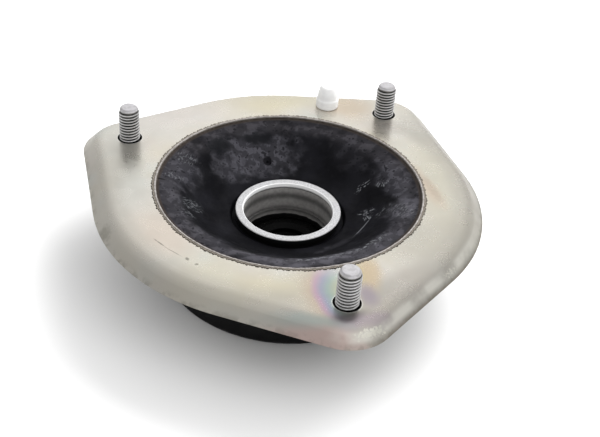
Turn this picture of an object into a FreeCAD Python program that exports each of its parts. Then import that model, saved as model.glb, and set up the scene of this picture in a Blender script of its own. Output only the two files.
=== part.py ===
import FreeCAD, Part
import math
import os
import Sketcher

# Strut top mount: the rubber-sprung bearing that joins the top of a suspension strut to the car body.
# A pressed steel plate carries three studs, a flanged shell hangs under it, and a rubber element in the
# shell holds the steel housing of a ball bearing, in which the strut's rod end turns.
# The origin is the middle of the plate's top face, +Z runs up the strut, and the front stud is at -Y.

# Driving dimensions, in millimetres, degrees or pieces.
SIZES = {
    # Mounting plate
    "plate_sheet": 3.0,  # thickness of the plate's steel
    "stud_circle": 69.0,  # distance of the studs from the middle
    "side_reach": 4.0,  # stud circle to the plate's outline at the sides
    "rear_reach": 5.5,  # stud circle to the plate's outline at the rear
    "front_lobe": 16.6,  # outline round the front stud
    "rear_lobe": 18.2,  # outline round each rear stud
    "rear_turn": 129.5,  # angle from the front stud to each rear stud
    "roll_radius": 6.7,  # outer radius of the turned down edge
    "roll_turn": 47.0,  # how far the edge is turned down, in degrees
    "roll_lip": 4.7,  # straight end of the turned down edge
    "opening_radius": 50.0,  # large opening in the middle
    # Studs
    "stud_radius": 4.0,  # M8 thread, outside
    "stud_height": 13.8,  # stud above the plate
    "stud_point": 2.2,  # length of the tapered point
    "stud_end_radius": 2.9,  # flat end of the point
    "stud_hole_gap": 0.8,  # open ring between the thread and its hole
    "stud_relief_radius": 3.4,  # thread relief between the neck and the thread
    "stud_relief": 1.5,  # length of that relief
    "stud_neck": 1.8,  # pressed in neck
    "stud_neck_fit": 0.01,  # neck to hole, on the radius
    "stud_head_radius": 7.0,  # head under the plate
    "stud_head": 2.4,  # thickness of the head
    "stud_head_bevel": 0.6,  # bevel of the head
    "neck_splines": 18,  # splines that stop the stud from turning
    "spline_depth": 0.3,  # depth between the splines
    # Locating pin
    "pin_turn": 60.0,  # direction of the locating pin, from +X
    "pin_set_in": 6.0,  # stud circle to the locating pin
    "pin_radius": 4.7,  # round base of the pin
    "pin_base": 4.0,  # height of the round base
    "pin_height": 10.0,  # whole height over the plate
    "pin_shoulder_radius": 4.4,  # foot of the tapered nose
    "pin_tip_radius": 2.8,  # flat end of the nose
    "pin_shank_radius": 2.9,  # shank through the plate
    "pin_hole_gap": 0.05,  # shank to hole, on the radius
    "pin_barb_radius": 3.5,  # barb under the plate
    "pin_barb_gap": 0.2,  # plate to barb
    "pin_barb_length": 4.5,  # length of the barb
    "pin_point_radius": 1.8,  # lower end of the barb
    # Outer shell
    "standing_height": 38.0,  # plate's top face over the shell's foot
    "shell_sheet": 2.0,  # thickness of the shell's steel
    "shell_set_in": 2.2,  # plate's opening to the outside of the shell's wall
    "flange_gap": 4.0,  # shell's flange to the heads of the studs
    "shell_foot_reach": 6.3,  # width of the turned in foot, inside the wall
    "shell_bend": 3.0,  # outer radius of the shell's bends
    # Top ring, sleeve and bearing housing
    "ring_overhang": 0.55,  # top ring beyond the sleeve
    "ring_inner_reach": 0.2,  # top ring over the inside of the sleeve
    "ring_drop": 10.9,  # plate's top face down to the ring
    "ring_thickness": 1.9,  # thickness of the top ring
    "ring_rounding": 0.4,  # rounded upper edges of the ring
    "sleeve_set_back": 1.0,  # sleeve's inside behind the neck's inside
    "sleeve_sheet": 2.25,  # wall of the upper sleeve
    "sleeve_length": 9.6,  # length of the upper sleeve
    "shoulder_width": 4.7,  # housing's shoulder over the bearing
    "housing_sheet": 2.2,  # thickness of the housing's steel
    "neck_length": 2.0,  # neck above the housing's shoulder
    "housing_bend": 2.6,  # rounded outer shoulder
    "seat_fit": 0.01,  # bearing to its seat, on the radius
    "lip_width": 1.7,  # lip under the bearing
    "lip_thickness": 1.5,  # thickness of that lip
    "lip_bend": 1.0,  # rounded corner of that lip
    # Bearing and seals
    "bearing_radius": 21.0,  # outside of the outer race
    "bearing_width": 8.0,  # width of the outer race
    "rod_radius": 7.0,  # bore for the strut's rod
    "ball_radius": 2.381,  # three sixteenth inch balls
    "ball_count": 12,  # balls in the cage
    "ball_play": 0.12,  # ball to groove and to pocket
    "race_land": 1.55,  # pitch circle to each race's land
    "inner_sink": 0.4,  # inner race below the outer one's top
    "inner_reach": 1.6,  # inner race below the outer one's bottom
    "race_chamfer": 0.5,  # chamfered corners of the races
    "cage_thickness": 2.0,  # cage, radially
    "cage_foot": 0.6,  # closed side of the cage below the balls
    "cage_crown": 1.0,  # cage above the balls' centres
    "seal_sheet": 0.9,  # thickness of the upper seal
    "seal_gap": 0.3,  # running gap of the seals
    "seal_step": 0.6,  # step in the outer race that holds the lower seal
    "lower_seal_sheet": 0.6,  # thickness of the lower seal
    "seal_opening": 2.2,  # upper seal's inner edge to the rod
    "seal_rise": 0.9,  # raised bead of the upper seal
    "seal_lip_drop": 1.0,  # inner edge of the upper seal below its flange
    "seal_lip_sheet": 0.63,  # thickness of that inner edge
    "seal_flange_land": 0.05,  # inside of the upper seal's flange to the race's land
    "seal_bead_slope": 2.0,  # flange to the top of the bead, radially
    "seal_bead_width": 2.0,  # width of the bead's top
    "seal_bead_rounding": 0.8,  # rounding of the bead
    "seal_seat_width": 1.1,  # lower seal held in the outer race
    # Rubber element
    "rubber_rim_gap": 0.6,  # shrinkage gap from the plate's opening
    "rubber_rim_drop": 0.6,  # rim below the plate's top face
    "rim_width": 7.4,  # rim to where it turns into the dish
    "dish_shoulder_drop": 2.2,  # that turn below the plate's top face
    "dish_floor_width": 5.5,  # floor of the dish, from the groove to its turn
    "dish_foot_sink": 1.5,  # that turn below the ring
    "dish_rounding": 16.0,  # rounding of both turns
    "groove_width": 1.9,  # groove round the ring, at the dish floor
    "groove_edge_sink": 2.3,  # edge of the groove below the ring
    "groove_floor_width": 1.2,  # groove's floor beyond the ring
    "groove_sink": 4.1,  # floor of the groove below the ring
    "groove_rounding": 0.6,  # rounded edge of the groove
    "foot_gap": 3.2,  # rubber over the shell's foot
    "foot_width": 3.4,  # rubber on the shell's wall, at the foot
    "collar_width": 2.8,  # rubber on the bearing housing, at its lower end
    "collar_gap": 2.4,  # rubber over the housing's lower face
    "hollow_outer_slope": 3.9,  # foot to the upper outer corner of the hollow, radially
    "hollow_outer_drop": 20.5,  # that corner below the plate's top face
    "hollow_inner_slope": 3.49,  # collar to the upper inner corner of the hollow, radially
    "hollow_inner_drop": 24.0,  # that corner below the plate's top face
    "hollow_rounding": 2.6,  # rounding inside the hollow
    "pip_radius": 1.75,  # moulding pip in the dish
    "pip_rise": 1.1,  # floor of the pip over the foot of the dish
    "pip_set_out": 4.2,  # foot of the dish to the pip, radially
}

# Dimensions that follow from the driving ones, each as a formula of the sheet.
DERIVED = {
    # Mounting plate
    "plate_underside": "-plate_sheet",  # height of the plate's lower face
    "roll_inner": "roll_radius - plate_sheet",  # inner radius of the edge
    "roll_across": "roll_radius * sin(roll_turn)",  # width of the curved part
    "roll_drop": "roll_radius * (1 - cos(roll_turn))",  # drop of the curved part
    "lip_across": "roll_lip * cos(roll_turn)",  # width of the straight end
    "lip_drop": "roll_lip * sin(roll_turn)",  # drop of the straight end
    "cut_across": "plate_sheet * sin(roll_turn)",  # width of the cut face
    "cut_drop": "plate_sheet * cos(roll_turn)",  # drop of the cut face
    "edge_width": "roll_across + lip_across",  # width of the whole edge
    "side_radius": "stud_circle + side_reach",  # plate's outline at the sides
    "rear_radius": "stud_circle + rear_reach",  # plate's outline at the rear
    "flat_side": "side_radius - edge_width",  # flat's outline at the sides
    "flat_rear": "rear_radius - edge_width",  # flat's outline at the rear
    "flat_front_lobe": "front_lobe - edge_width",  # flat round the front stud
    "flat_rear_lobe": "rear_lobe - edge_width",  # flat round each rear stud
    "rear_x": "stud_circle * sin(rear_turn)",  # rear studs, sideways
    "rear_y": "-stud_circle * cos(rear_turn)",  # rear studs, rearwards
    "front_y": "-stud_circle",  # front stud
    "rear_x_left": "-rear_x",  # left rear stud, sideways
    "middle": "0",  # the axis
    "edge_start": "front_y - flat_front_lobe",  # where the front edge starts to curve
    "edge_bend_end": "edge_start - roll_across",  # outer end of the curve
    "edge_tip": "edge_bend_end - lip_across",  # outermost point of the edge
    "edge_cut_end": "edge_tip + cut_across",  # lower corner of the cut face
    "edge_bend_back": "edge_bend_end + cut_across",  # inner end of the curve
    "edge_bend_drop": "-roll_drop",  # height of the curve's outer end
    "edge_tip_drop": "edge_bend_drop - lip_drop",  # height of the outermost point
    "edge_cut_drop": "edge_tip_drop - cut_drop",  # height of the lowest corner
    "edge_back_drop": "edge_bend_drop - cut_drop",  # height of the curve's inner end
    # Studs
    "stud_hole_radius": "stud_radius + stud_hole_gap",  # hole in the plate
    "stud_neck_radius": "stud_hole_radius - stud_neck_fit",  # neck over its splines
    "stud_neck_top": "plate_underside + stud_neck",  # top of the neck
    "stud_head_bottom": "plate_underside - stud_head",  # lowest face of the head
    "stud_thread_start": "stud_neck_top + stud_relief",  # lower end of the thread
    "stud_point_start": "stud_height - stud_point",  # top of the full thread
    # Locating pin
    "pin_hole_radius": "pin_shank_radius + pin_hole_gap",  # hole in the plate
    "pin_circle": "stud_circle - pin_set_in",  # distance of the pin from the middle
    "pin_x": "pin_circle * cos(pin_turn)",  # pin, sideways
    "pin_y": "pin_circle * sin(pin_turn)",  # pin, rearwards
    "pin_barb_top": "plate_underside - pin_barb_gap",  # top of the barb
    "pin_bottom": "pin_barb_top - pin_barb_length",  # lower end of the pin
    # Outer shell
    "shell_floor": "-standing_height",  # lowest face of the shell
    "shell_flange_bottom": "plate_underside - shell_sheet",  # lower face of the flange
    "shell_radius": "opening_radius - shell_set_in",  # outside of the shell's wall
    "shell_wall_inner": "shell_radius - shell_sheet",  # inside of the shell's wall
    "shell_flange": "stud_circle - stud_head_radius - flange_gap",  # outside of the flange
    "shell_foot_inner": "shell_wall_inner - shell_foot_reach",  # inner edge of the foot
    "shell_foot_top": "shell_floor + shell_sheet",  # upper face of the foot
    "shell_bend_inner": "shell_bend - shell_sheet",  # inner radius of the bends
    # Top ring, sleeve and bearing housing
    "ring_top": "-ring_drop",  # upper face of the ring
    "ring_bottom": "ring_top - ring_thickness",  # ring on the sleeve
    "sleeve_bottom": "ring_bottom - sleeve_length",  # sleeve on the housing
    "neck_inner": "bearing_radius - shoulder_width",  # inside of the housing's neck
    "neck_radius": "neck_inner + housing_sheet",  # outside of the neck
    "sleeve_inner": "neck_inner + sleeve_set_back",  # inside of the upper sleeve
    "sleeve_radius": "sleeve_inner + sleeve_sheet",  # outside of the upper sleeve
    "ring_inner": "sleeve_inner - ring_inner_reach",  # inside of the top ring
    "ring_radius": "sleeve_radius + ring_overhang",  # outside of the top ring
    "lip_inner": "bearing_radius - lip_width",  # inner edge of the lip
    "shoulder_top": "sleeve_bottom - neck_length",  # outer face of the shoulder
    "shoulder_under": "shoulder_top - housing_sheet",  # inner face of the shoulder
    "seat_radius": "bearing_radius + seat_fit",  # seat of the bearing
    "housing_radius": "seat_radius + housing_sheet",  # outside of the housing
    "lip_top": "shoulder_under - seal_sheet - bearing_width",  # bearing on the lip
    "lip_bottom": "lip_top - lip_thickness",  # lowest face of the housing
    # Bearing and seals
    "bearing_middle": "shoulder_under - seal_sheet - bearing_width / 2",  # height of the balls
    "race_top": "bearing_width / 2",  # upper face of the outer race
    "race_bottom": "-race_top",  # lower face of the outer race
    "pitch_radius": "(rod_radius + bearing_radius) / 2",  # circle of the balls
    "inner_land": "pitch_radius - race_land",  # outside of the inner race
    "outer_land": "pitch_radius + race_land",  # inside of the outer race
    "track_radius": "ball_radius + ball_play",  # radius of the ball tracks
    "inner_top": "race_top - inner_sink",  # upper face of the inner race
    "inner_bottom": "race_bottom - inner_reach",  # lower face of the inner race
    "seal_seat": "outer_land + seal_seat_width",  # outside of the lower seal
    "seal_step_top": "race_bottom + seal_step",  # upper face of the lower seal
    "lower_seal_inner": "inner_land + seal_gap",  # inside of the lower seal
    "lower_seal_radius": "seal_seat - seat_fit",  # outside of the lower seal itself
    "lower_seal_bottom": "seal_step_top - lower_seal_sheet",  # lower face of the lower seal
    "cage_inner": "pitch_radius - cage_thickness / 2",  # inside of the cage
    "cage_outer": "pitch_radius + cage_thickness / 2",  # outside of the cage
    "cage_bottom": "-track_radius - cage_foot",  # lower face of the cage
    "ball_turn": "360 / ball_count",  # angle from ball to ball
    "seal_inner": "rod_radius + seal_opening",  # inner edge of the upper seal
    "seal_flange_inner": "outer_land + seal_flange_land",  # inside of the flange
    "seal_bead_outer": "seal_flange_inner - seal_bead_slope",  # outer side of the bead
    "seal_bead_inner": "seal_bead_outer - seal_bead_width",  # inner side of the bead
    "seal_bead_top": "seal_rise",  # top of the bead over the flange
    "seal_bead_under": "seal_rise - seal_sheet",  # underside of the bead
    "seal_flange_under": "-seal_sheet",  # underside of the flange
    "seal_lip_under": "-seal_lip_drop",  # lowest point of the inner edge
    "seal_lip_top": "seal_lip_under + seal_lip_sheet",  # top of the inner edge
    # Rubber element
    "rubber_rim": "opening_radius - rubber_rim_gap",  # outside of the rim
    "rim_top": "-rubber_rim_drop",  # height of the rim
    "dish_shoulder_radius": "rubber_rim - rim_width",  # where the rim turns into the dish
    "dish_shoulder": "-dish_shoulder_drop",  # height of that turn
    "groove_radius": "ring_radius + groove_width",  # groove at the dish floor
    "groove_edge": "ring_top - groove_edge_sink",  # height of the groove's edge
    "groove_floor_radius": "ring_radius + groove_floor_width",  # outside of its floor
    "groove_floor": "ring_top - groove_sink",  # height of the groove's floor
    "dish_foot_radius": "groove_radius + dish_floor_width",  # where the dish ends
    "dish_foot": "ring_top - dish_foot_sink",  # height of that turn
    "dish_slope_width": "dish_shoulder_radius - dish_foot_radius",  # sloping part
    "dish_slope": "atan((dish_shoulder - dish_foot) / dish_slope_width)",  # its slope
    "floor_slope": "atan((dish_foot - groove_edge) / dish_floor_width)",  # of the floor
    "foot_room": "dish_floor_width - 2 * groove_rounding",  # room for the rounding
    "foot_limit": "foot_room / tan((dish_slope - floor_slope) / 2)",  # largest rounding
    "foot_rounding": "min(dish_rounding, foot_limit)",  # rounding at the dish's foot
    "rubber_foot": "shell_foot_top + foot_gap",  # lower end on the shell
    "foot_inner": "shell_wall_inner - foot_width",  # inside of that end
    "collar_outer": "housing_radius + collar_width",  # outside of the collar
    "collar_bottom": "lip_bottom + collar_gap",  # lower end of the collar
    "hollow_outer": "foot_inner - hollow_outer_slope",  # outer corner of the hollow
    "hollow_inner": "collar_outer + hollow_inner_slope",  # inner corner of the hollow
    "hollow_outer_top": "-hollow_outer_drop",  # height of the outer corner
    "hollow_inner_top": "-hollow_inner_drop",  # height of the inner corner
    "pip_circle": "dish_foot_radius + pip_set_out",  # distance of the pip from the middle
    "pip_drop": "-dish_foot - pip_rise",  # floor of the pip below the plate's top face
}

FULL_TURN = 360  # degrees
LEAST_CUT = 1  # cubic millimetres that a cut must at least remove
SAME = 0.001  # millimetres within which two places are the same

document = FreeCAD.newDocument("StrutTopMount")
sizes = document.addObject("Spreadsheet::Sheet", "Sizes")


def fill_sheet():
    """One row for each dimension: its name, and its number or formula under an alias."""
    rows = [(alias, str(number)) for alias, number in SIZES.items()]
    rows += [(alias, "=" + formula) for alias, formula in DERIVED.items()]
    for row, (alias, content) in enumerate(rows, start=1):
        sizes.set("A%d" % row, alias)
        sizes.set("B%d" % row, content)
        sizes.setAlias("B%d" % row, alias)
    document.recompute()


def value(alias):
    """The present number behind a name in the sheet."""
    return float(sizes.get(alias))


def new_body(label):
    """An empty body that will be written under its label."""
    body = document.addObject("PartDesign::Body", label)
    body.Label = label
    return body


def origin_plane(body, role):
    """One of the body's own reference planes."""
    for feature in body.Origin.OriginFeatures:
        if feature.Role == role:
            return feature
    raise RuntimeError("no plane " + role)


def new_sketch(body, name, role):
    """A sketch that lies on one of the body's reference planes."""
    sketch = body.newObject("Sketcher::SketchObject", name)
    sketch.AttachmentSupport = (origin_plane(body, role), [""])
    sketch.MapMode = "FlatFace"
    return sketch


def tie(sketch, number, formula):
    """Let a constraint follow the sheet."""
    sketch.setExpression("Constraints[%d]" % number, formula)


def tie_point(sketch, edge, end, across, up):
    """Hold one end of an edge at two named sizes."""
    number = sketch.addConstraint(Sketcher.Constraint("DistanceX", edge, end, value(across)))
    tie(sketch, number, "Sizes." + across)
    number = sketch.addConstraint(Sketcher.Constraint("DistanceY", edge, end, value(up)))
    tie(sketch, number, "Sizes." + up)


def tie_radius(sketch, edge, alias):
    """Give a circle or an arc a named radius."""
    number = sketch.addConstraint(Sketcher.Constraint("Radius", edge, value(alias)))
    tie(sketch, number, "Sizes." + alias)


def short_arc(start, end, radius, left):
    """The smaller arc of a radius from start to end, with its centre on the left or the right."""
    chord = end - start
    side = FreeCAD.Vector(-chord.y, chord.x, 0).normalize()
    reach = math.sqrt(radius**2 - (chord.Length / 2) ** 2)
    centre = (start + end) * 0.5 + side * (reach if left else -reach)
    first = start if left else end
    last = end if left else start
    from_angle = math.atan2(first.y - centre.y, first.x - centre.x)
    to_angle = math.atan2(last.y - centre.y, last.x - centre.x)
    return Part.ArcOfCircle(Part.Circle(centre, FreeCAD.Vector(0, 0, 1), radius), from_angle, to_angle)


def outline(body, name, role, corners):
    """A closed outline through corners. A corner names its two sizes, and where an arc leaves it, the
    arc's radius and the side of its centre."""
    sketch = new_sketch(body, name, role)
    points = [FreeCAD.Vector(value(corner[0]), value(corner[1]), 0) for corner in corners]
    starts = []
    ends = []
    for index, corner in enumerate(corners):
        start = points[index]
        end = points[(index + 1) % len(points)]
        backwards = False
        if len(corner) == 2:
            sketch.addGeometry(Part.LineSegment(start, end), False)
        else:
            left = corner[3] == "left"
            sketch.addGeometry(short_arc(start, end, value(corner[2]), left), False)
            backwards = not left
        starts.append(2 if backwards else 1)
        ends.append(1 if backwards else 2)
    for index in range(len(corners)):
        after = (index + 1) % len(corners)
        sketch.addConstraint(
            Sketcher.Constraint("Coincident", index, ends[index], after, starts[after])
        )
    for index, corner in enumerate(corners):
        tie_point(sketch, index, starts[index], corner[0], corner[1])
        if len(corner) > 2:
            tie_radius(sketch, index, corner[2])
    return sketch


def turned(body, name, corners):
    """A solid of revolution about Z from corners of radius and height."""
    sketch = outline(body, name + "Section", "XZ_Plane", corners)
    turning = body.newObject("PartDesign::Revolution", name)
    turning.Profile = sketch
    turning.ReferenceAxis = (sketch, ["V_Axis"])
    turning.Angle = FULL_TURN
    body.Tip = turning
    document.recompute()
    return turning


def round_edges(shape, radius_alias, height_alias):
    """Names of the edges that run round Z at a radius and a height."""
    names = []
    for number, edge in enumerate(shape.Edges, start=1):
        if not isinstance(edge.Curve, Part.Circle):
            continue
        offset = math.hypot(edge.Curve.Center.x, edge.Curve.Center.y)
        radius_off = abs(edge.Curve.Radius - value(radius_alias))
        height_off = abs(edge.Curve.Center.z - value(height_alias))
        if max(offset, radius_off, height_off) < SAME:
            names.append("Edge%d" % number)
    return names


def soften(body, kind, name, places, size_alias):
    """Fillet or chamfer the round edges at each pair of radius and height."""
    base = body.Tip
    names = []
    for radius_alias, height_alias in places:
        found = round_edges(base.Shape, radius_alias, height_alias)
        if not found:
            raise RuntimeError("%s finds no edge at %s" % (name, radius_alias))
        names += found
    feature = body.newObject("PartDesign::" + kind, name)
    feature.Base = (base, names)
    feature.setExpression("Radius" if kind == "Fillet" else "Size", "Sizes." + size_alias)
    body.Tip = feature
    document.recompute()
    return feature


def place(item, across=None, along=None, up=None):
    """Tie a piece's position to named sizes."""
    for axis, alias in (("x", across), ("y", along), ("z", up)):
        if alias:
            item.setExpression("Placement.Base." + axis, "Sizes." + alias)


def tangent_spread(main_alias, lobe_alias):
    """Angle from a stud's direction to the tangent that joins its lobe to a main arc."""
    return math.degrees(math.acos((value(main_alias) - value(lobe_alias)) / value("stud_circle")))


def flat_arc(centre, radius_alias, from_angle, to_angle):
    """An arc of the flat's outline between two angles in degrees."""
    circle = Part.Circle(centre, FreeCAD.Vector(0, 0, 1), value(radius_alias))
    return Part.ArcOfCircle(circle, math.radians(from_angle), math.radians(to_angle))


def plate_outline(body):
    """Outline of the plate's flat: three lobes and three main arcs about the middle, joined by
    tangents. The first edge starts at the front, where the edge's section stands."""
    sketch = new_sketch(body, "FlatOutline", "XY_Plane")
    front = -90.0
    right = front + value("rear_turn")
    left = front + FULL_TURN - value("rear_turn")
    at_front = turn_by(value("stud_circle"), front)
    at_right = turn_by(value("stud_circle"), right)
    at_left = turn_by(value("stud_circle"), left)
    middle = FreeCAD.Vector(0, 0, 0)
    to_front = tangent_spread("flat_side", "flat_front_lobe")
    to_side = tangent_spread("flat_side", "flat_rear_lobe")
    to_rear = tangent_spread("flat_rear", "flat_rear_lobe")
    arcs = [
        flat_arc(at_front, "flat_front_lobe", front, front + to_front),
        flat_arc(middle, "flat_side", front + to_front, right - to_side),
        flat_arc(at_right, "flat_rear_lobe", right - to_side, right + to_rear),
        flat_arc(middle, "flat_rear", right + to_rear, left - to_rear),
        flat_arc(at_left, "flat_rear_lobe", left - to_rear, left + to_side),
        flat_arc(middle, "flat_side", left + to_side, front + FULL_TURN - to_front),
        flat_arc(at_front, "flat_front_lobe", front + FULL_TURN - to_front, front + FULL_TURN),
    ]
    # A straight tangent runs from each arc to the next. The front lobe is split where the outline closes.
    edges = [arcs[0]]
    for before, after in zip(arcs, arcs[1:]):
        edges += [Part.LineSegment(before.EndPoint, after.StartPoint), after]
    for edge in edges:
        sketch.addGeometry(edge, False)
    last_edge = len(edges) - 1
    for number in range(last_edge):
        sketch.addConstraint(Sketcher.Constraint("Tangent", number, 2, number + 1, 1))
    sketch.addConstraint(Sketcher.Constraint("Tangent", last_edge, 2, 0, 1))
    sketch.addConstraint(Sketcher.Constraint("Coincident", last_edge, 3, 0, 3))
    sketch.addConstraint(Sketcher.Constraint("PointOnObject", 0, 1, -2))
    for number, radius_alias in ((2, "flat_side"), (6, "flat_rear"), (10, "flat_side")):
        sketch.addConstraint(Sketcher.Constraint("Coincident", number, 3, -1, 1))
        tie_radius(sketch, number, radius_alias)
    tie_radius(sketch, 0, "flat_front_lobe")
    tie_radius(sketch, 4, "flat_rear_lobe")
    tie_radius(sketch, 8, "flat_rear_lobe")
    tie_point(sketch, 0, 3, "middle", "front_y")
    tie_point(sketch, 4, 3, "rear_x", "rear_y")
    tie_point(sketch, 8, 3, "rear_x_left", "rear_y")
    return sketch


def turn_by(radius, angle):
    """The point at a radius and an angle in degrees from +X."""
    return FreeCAD.Vector(math.cos(math.radians(angle)), math.sin(math.radians(angle)), 0) * radius


def plate_holes(body):
    """Circles of the middle opening, the three stud holes and the locating pin's hole."""
    sketch = new_sketch(body, "Holes", "XY_Plane")
    holes = (
        ("middle", "middle", "opening_radius"),
        ("middle", "front_y", "stud_hole_radius"),
        ("rear_x", "rear_y", "stud_hole_radius"),
        ("rear_x_left", "rear_y", "stud_hole_radius"),
        ("pin_x", "pin_y", "pin_hole_radius"),
    )
    for number, (across, along, radius) in enumerate(holes):
        centre = FreeCAD.Vector(value(across), value(along), 0)
        sketch.addGeometry(Part.Circle(centre, FreeCAD.Vector(0, 0, 1), value(radius)), False)
        tie_point(sketch, number, 3, across, along)
        tie_radius(sketch, number, radius)
    return sketch


def make_plate():
    """Pressed plate: a flat with lobes, an edge turned down all the way round, and its holes."""
    body = new_body("mounting_plate")
    flat_outline = plate_outline(body)
    document.recompute()
    flat = body.newObject("PartDesign::Pad", "Flat")
    flat.Profile = flat_outline
    flat.Reversed = True
    flat.setExpression("Length", "Sizes.plate_sheet")
    document.recompute()
    edge_section = outline(
        body,
        "EdgeSection",
        "YZ_Plane",
        [
            ("edge_start", "plate_underside"),
            ("edge_start", "middle", "roll_radius", "left"),
            ("edge_bend_end", "edge_bend_drop"),
            ("edge_tip", "edge_tip_drop"),
            ("edge_cut_end", "edge_cut_drop"),
            ("edge_bend_back", "edge_back_drop", "roll_inner", "right"),
        ],
    )
    edge = body.newObject("PartDesign::AdditivePipe", "TurnedEdge")
    edge.Profile = edge_section
    edge.Spine = (flat_outline, ["Edge%d" % number for number in range(1, 14)])
    body.Tip = edge
    document.recompute()
    before = edge.Shape.Volume
    holes = body.newObject("PartDesign::Pocket", "HolePocket")
    holes.Profile = plate_holes(body)
    holes.Type = "ThroughAll"
    body.Tip = holes
    document.recompute()
    if holes.Shape.Volume > before - LEAST_CUT:
        raise RuntimeError("the holes cut nothing")
    return body


def make_stud(label, across, along):
    """Press in stud: head under the plate, splined neck in it, thread relief, tapered point."""
    body = new_body(label)
    turned(
        body,
        "Blank",
        [
            ("middle", "stud_head_bottom"),
            ("stud_head_radius", "stud_head_bottom"),
            ("stud_head_radius", "plate_underside"),
            ("stud_neck_radius", "plate_underside"),
            ("stud_neck_radius", "stud_neck_top"),
            ("stud_relief_radius", "stud_neck_top"),
            ("stud_relief_radius", "stud_thread_start"),
            ("stud_radius", "stud_thread_start"),
            ("stud_radius", "stud_point_start"),
            ("stud_end_radius", "stud_height"),
            ("middle", "stud_height"),
        ],
    )
    soften(body, "Chamfer", "HeadBevel", [("stud_head_radius", "stud_head_bottom")], "stud_head_bevel")
    cut_splines(body)
    place(body, across, along)
    return body


def cut_splines(body):
    """Grooves between the splines of the pressed in neck."""
    sketch = new_sketch(body, "SplineSection", "XY_Plane")
    centre = FreeCAD.Vector(value("stud_neck_radius"), 0, 0)
    sketch.addGeometry(Part.Circle(centre, FreeCAD.Vector(0, 0, 1), value("spline_depth")), False)
    tie_point(sketch, 0, 3, "stud_neck_radius", "middle")
    tie_radius(sketch, 0, "spline_depth")
    before = body.Tip.Shape.Volume
    cut = body.newObject("PartDesign::Pocket", "SplineGap")
    cut.Profile = sketch
    cut.setExpression("Length", "Sizes.plate_sheet")
    body.Tip = cut
    document.recompute()
    around = body.newObject("PartDesign::PolarPattern", "SplineGaps")
    around.Originals = [cut]
    around.Axis = (origin_plane(body, "Z_Axis"), [""])
    around.Angle = FULL_TURN
    around.setExpression("Occurrences", "Sizes.neck_splines")
    body.Tip = around
    document.recompute()
    if around.Shape.Volume > before - LEAST_CUT:
        raise RuntimeError("the splines cut nothing")


def make_pin():
    """Moulded locating pin, clipped into the plate."""
    body = new_body("locating_pin")
    turned(
        body,
        "Pin",
        [
            ("middle", "pin_bottom"),
            ("pin_point_radius", "pin_bottom"),
            ("pin_barb_radius", "pin_barb_top"),
            ("pin_shank_radius", "pin_barb_top"),
            ("pin_shank_radius", "middle"),
            ("pin_radius", "middle"),
            ("pin_radius", "pin_base"),
            ("pin_shoulder_radius", "pin_base"),
            ("pin_tip_radius", "pin_height"),
            ("middle", "pin_height"),
        ],
    )
    place(body, "pin_x", "pin_y")
    return body


def make_shell():
    """Drawn steel shell: a flange welded under the plate, a wall, and a foot turned inwards."""
    body = new_body("outer_shell")
    turned(
        body,
        "Shell",
        [
            ("shell_wall_inner", "plate_underside"),
            ("shell_flange", "plate_underside"),
            ("shell_flange", "shell_flange_bottom"),
            ("shell_radius", "shell_flange_bottom"),
            ("shell_radius", "shell_floor"),
            ("shell_foot_inner", "shell_floor"),
            ("shell_foot_inner", "shell_foot_top"),
            ("shell_wall_inner", "shell_foot_top"),
        ],
    )
    outer_bends = [("shell_wall_inner", "plate_underside"), ("shell_radius", "shell_floor")]
    inner_bends = [("shell_radius", "shell_flange_bottom"), ("shell_wall_inner", "shell_foot_top")]
    soften(body, "Fillet", "OuterBends", outer_bends, "shell_bend")
    soften(body, "Fillet", "InnerBends", inner_bends, "shell_bend_inner")
    return body


def make_top_ring():
    """Bright steel ring on the upper end of the sleeve."""
    body = new_body("top_ring")
    turned(
        body,
        "Ring",
        [
            ("ring_inner", "ring_bottom"),
            ("ring_radius", "ring_bottom"),
            ("ring_radius", "ring_top"),
            ("ring_inner", "ring_top"),
        ],
    )
    upper_edges = [("ring_radius", "ring_top"), ("ring_inner", "ring_top")]
    soften(body, "Fillet", "UpperEdges", upper_edges, "ring_rounding")
    return body


def make_sleeve():
    """Steel tube between the top ring and the bearing housing."""
    body = new_body("upper_sleeve")
    turned(
        body,
        "Sleeve",
        [
            ("sleeve_inner", "sleeve_bottom"),
            ("sleeve_radius", "sleeve_bottom"),
            ("sleeve_radius", "ring_bottom"),
            ("sleeve_inner", "ring_bottom"),
        ],
    )
    return body


def make_housing():
    """Drawn steel cup that holds the bearing between its shoulder and a rolled in lip."""
    body = new_body("bearing_housing")
    turned(
        body,
        "Cup",
        [
            ("neck_inner", "sleeve_bottom"),
            ("neck_inner", "shoulder_under"),
            ("seat_radius", "shoulder_under"),
            ("seat_radius", "lip_top"),
            ("lip_inner", "lip_top"),
            ("lip_inner", "lip_bottom"),
            ("housing_radius", "lip_bottom"),
            ("housing_radius", "shoulder_top"),
            ("neck_radius", "shoulder_top"),
            ("neck_radius", "sleeve_bottom"),
        ],
    )
    soften(body, "Fillet", "Shoulder", [("housing_radius", "shoulder_top")], "housing_bend")
    soften(body, "Fillet", "LowerCorner", [("housing_radius", "lip_bottom")], "lip_bend")
    return body


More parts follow.
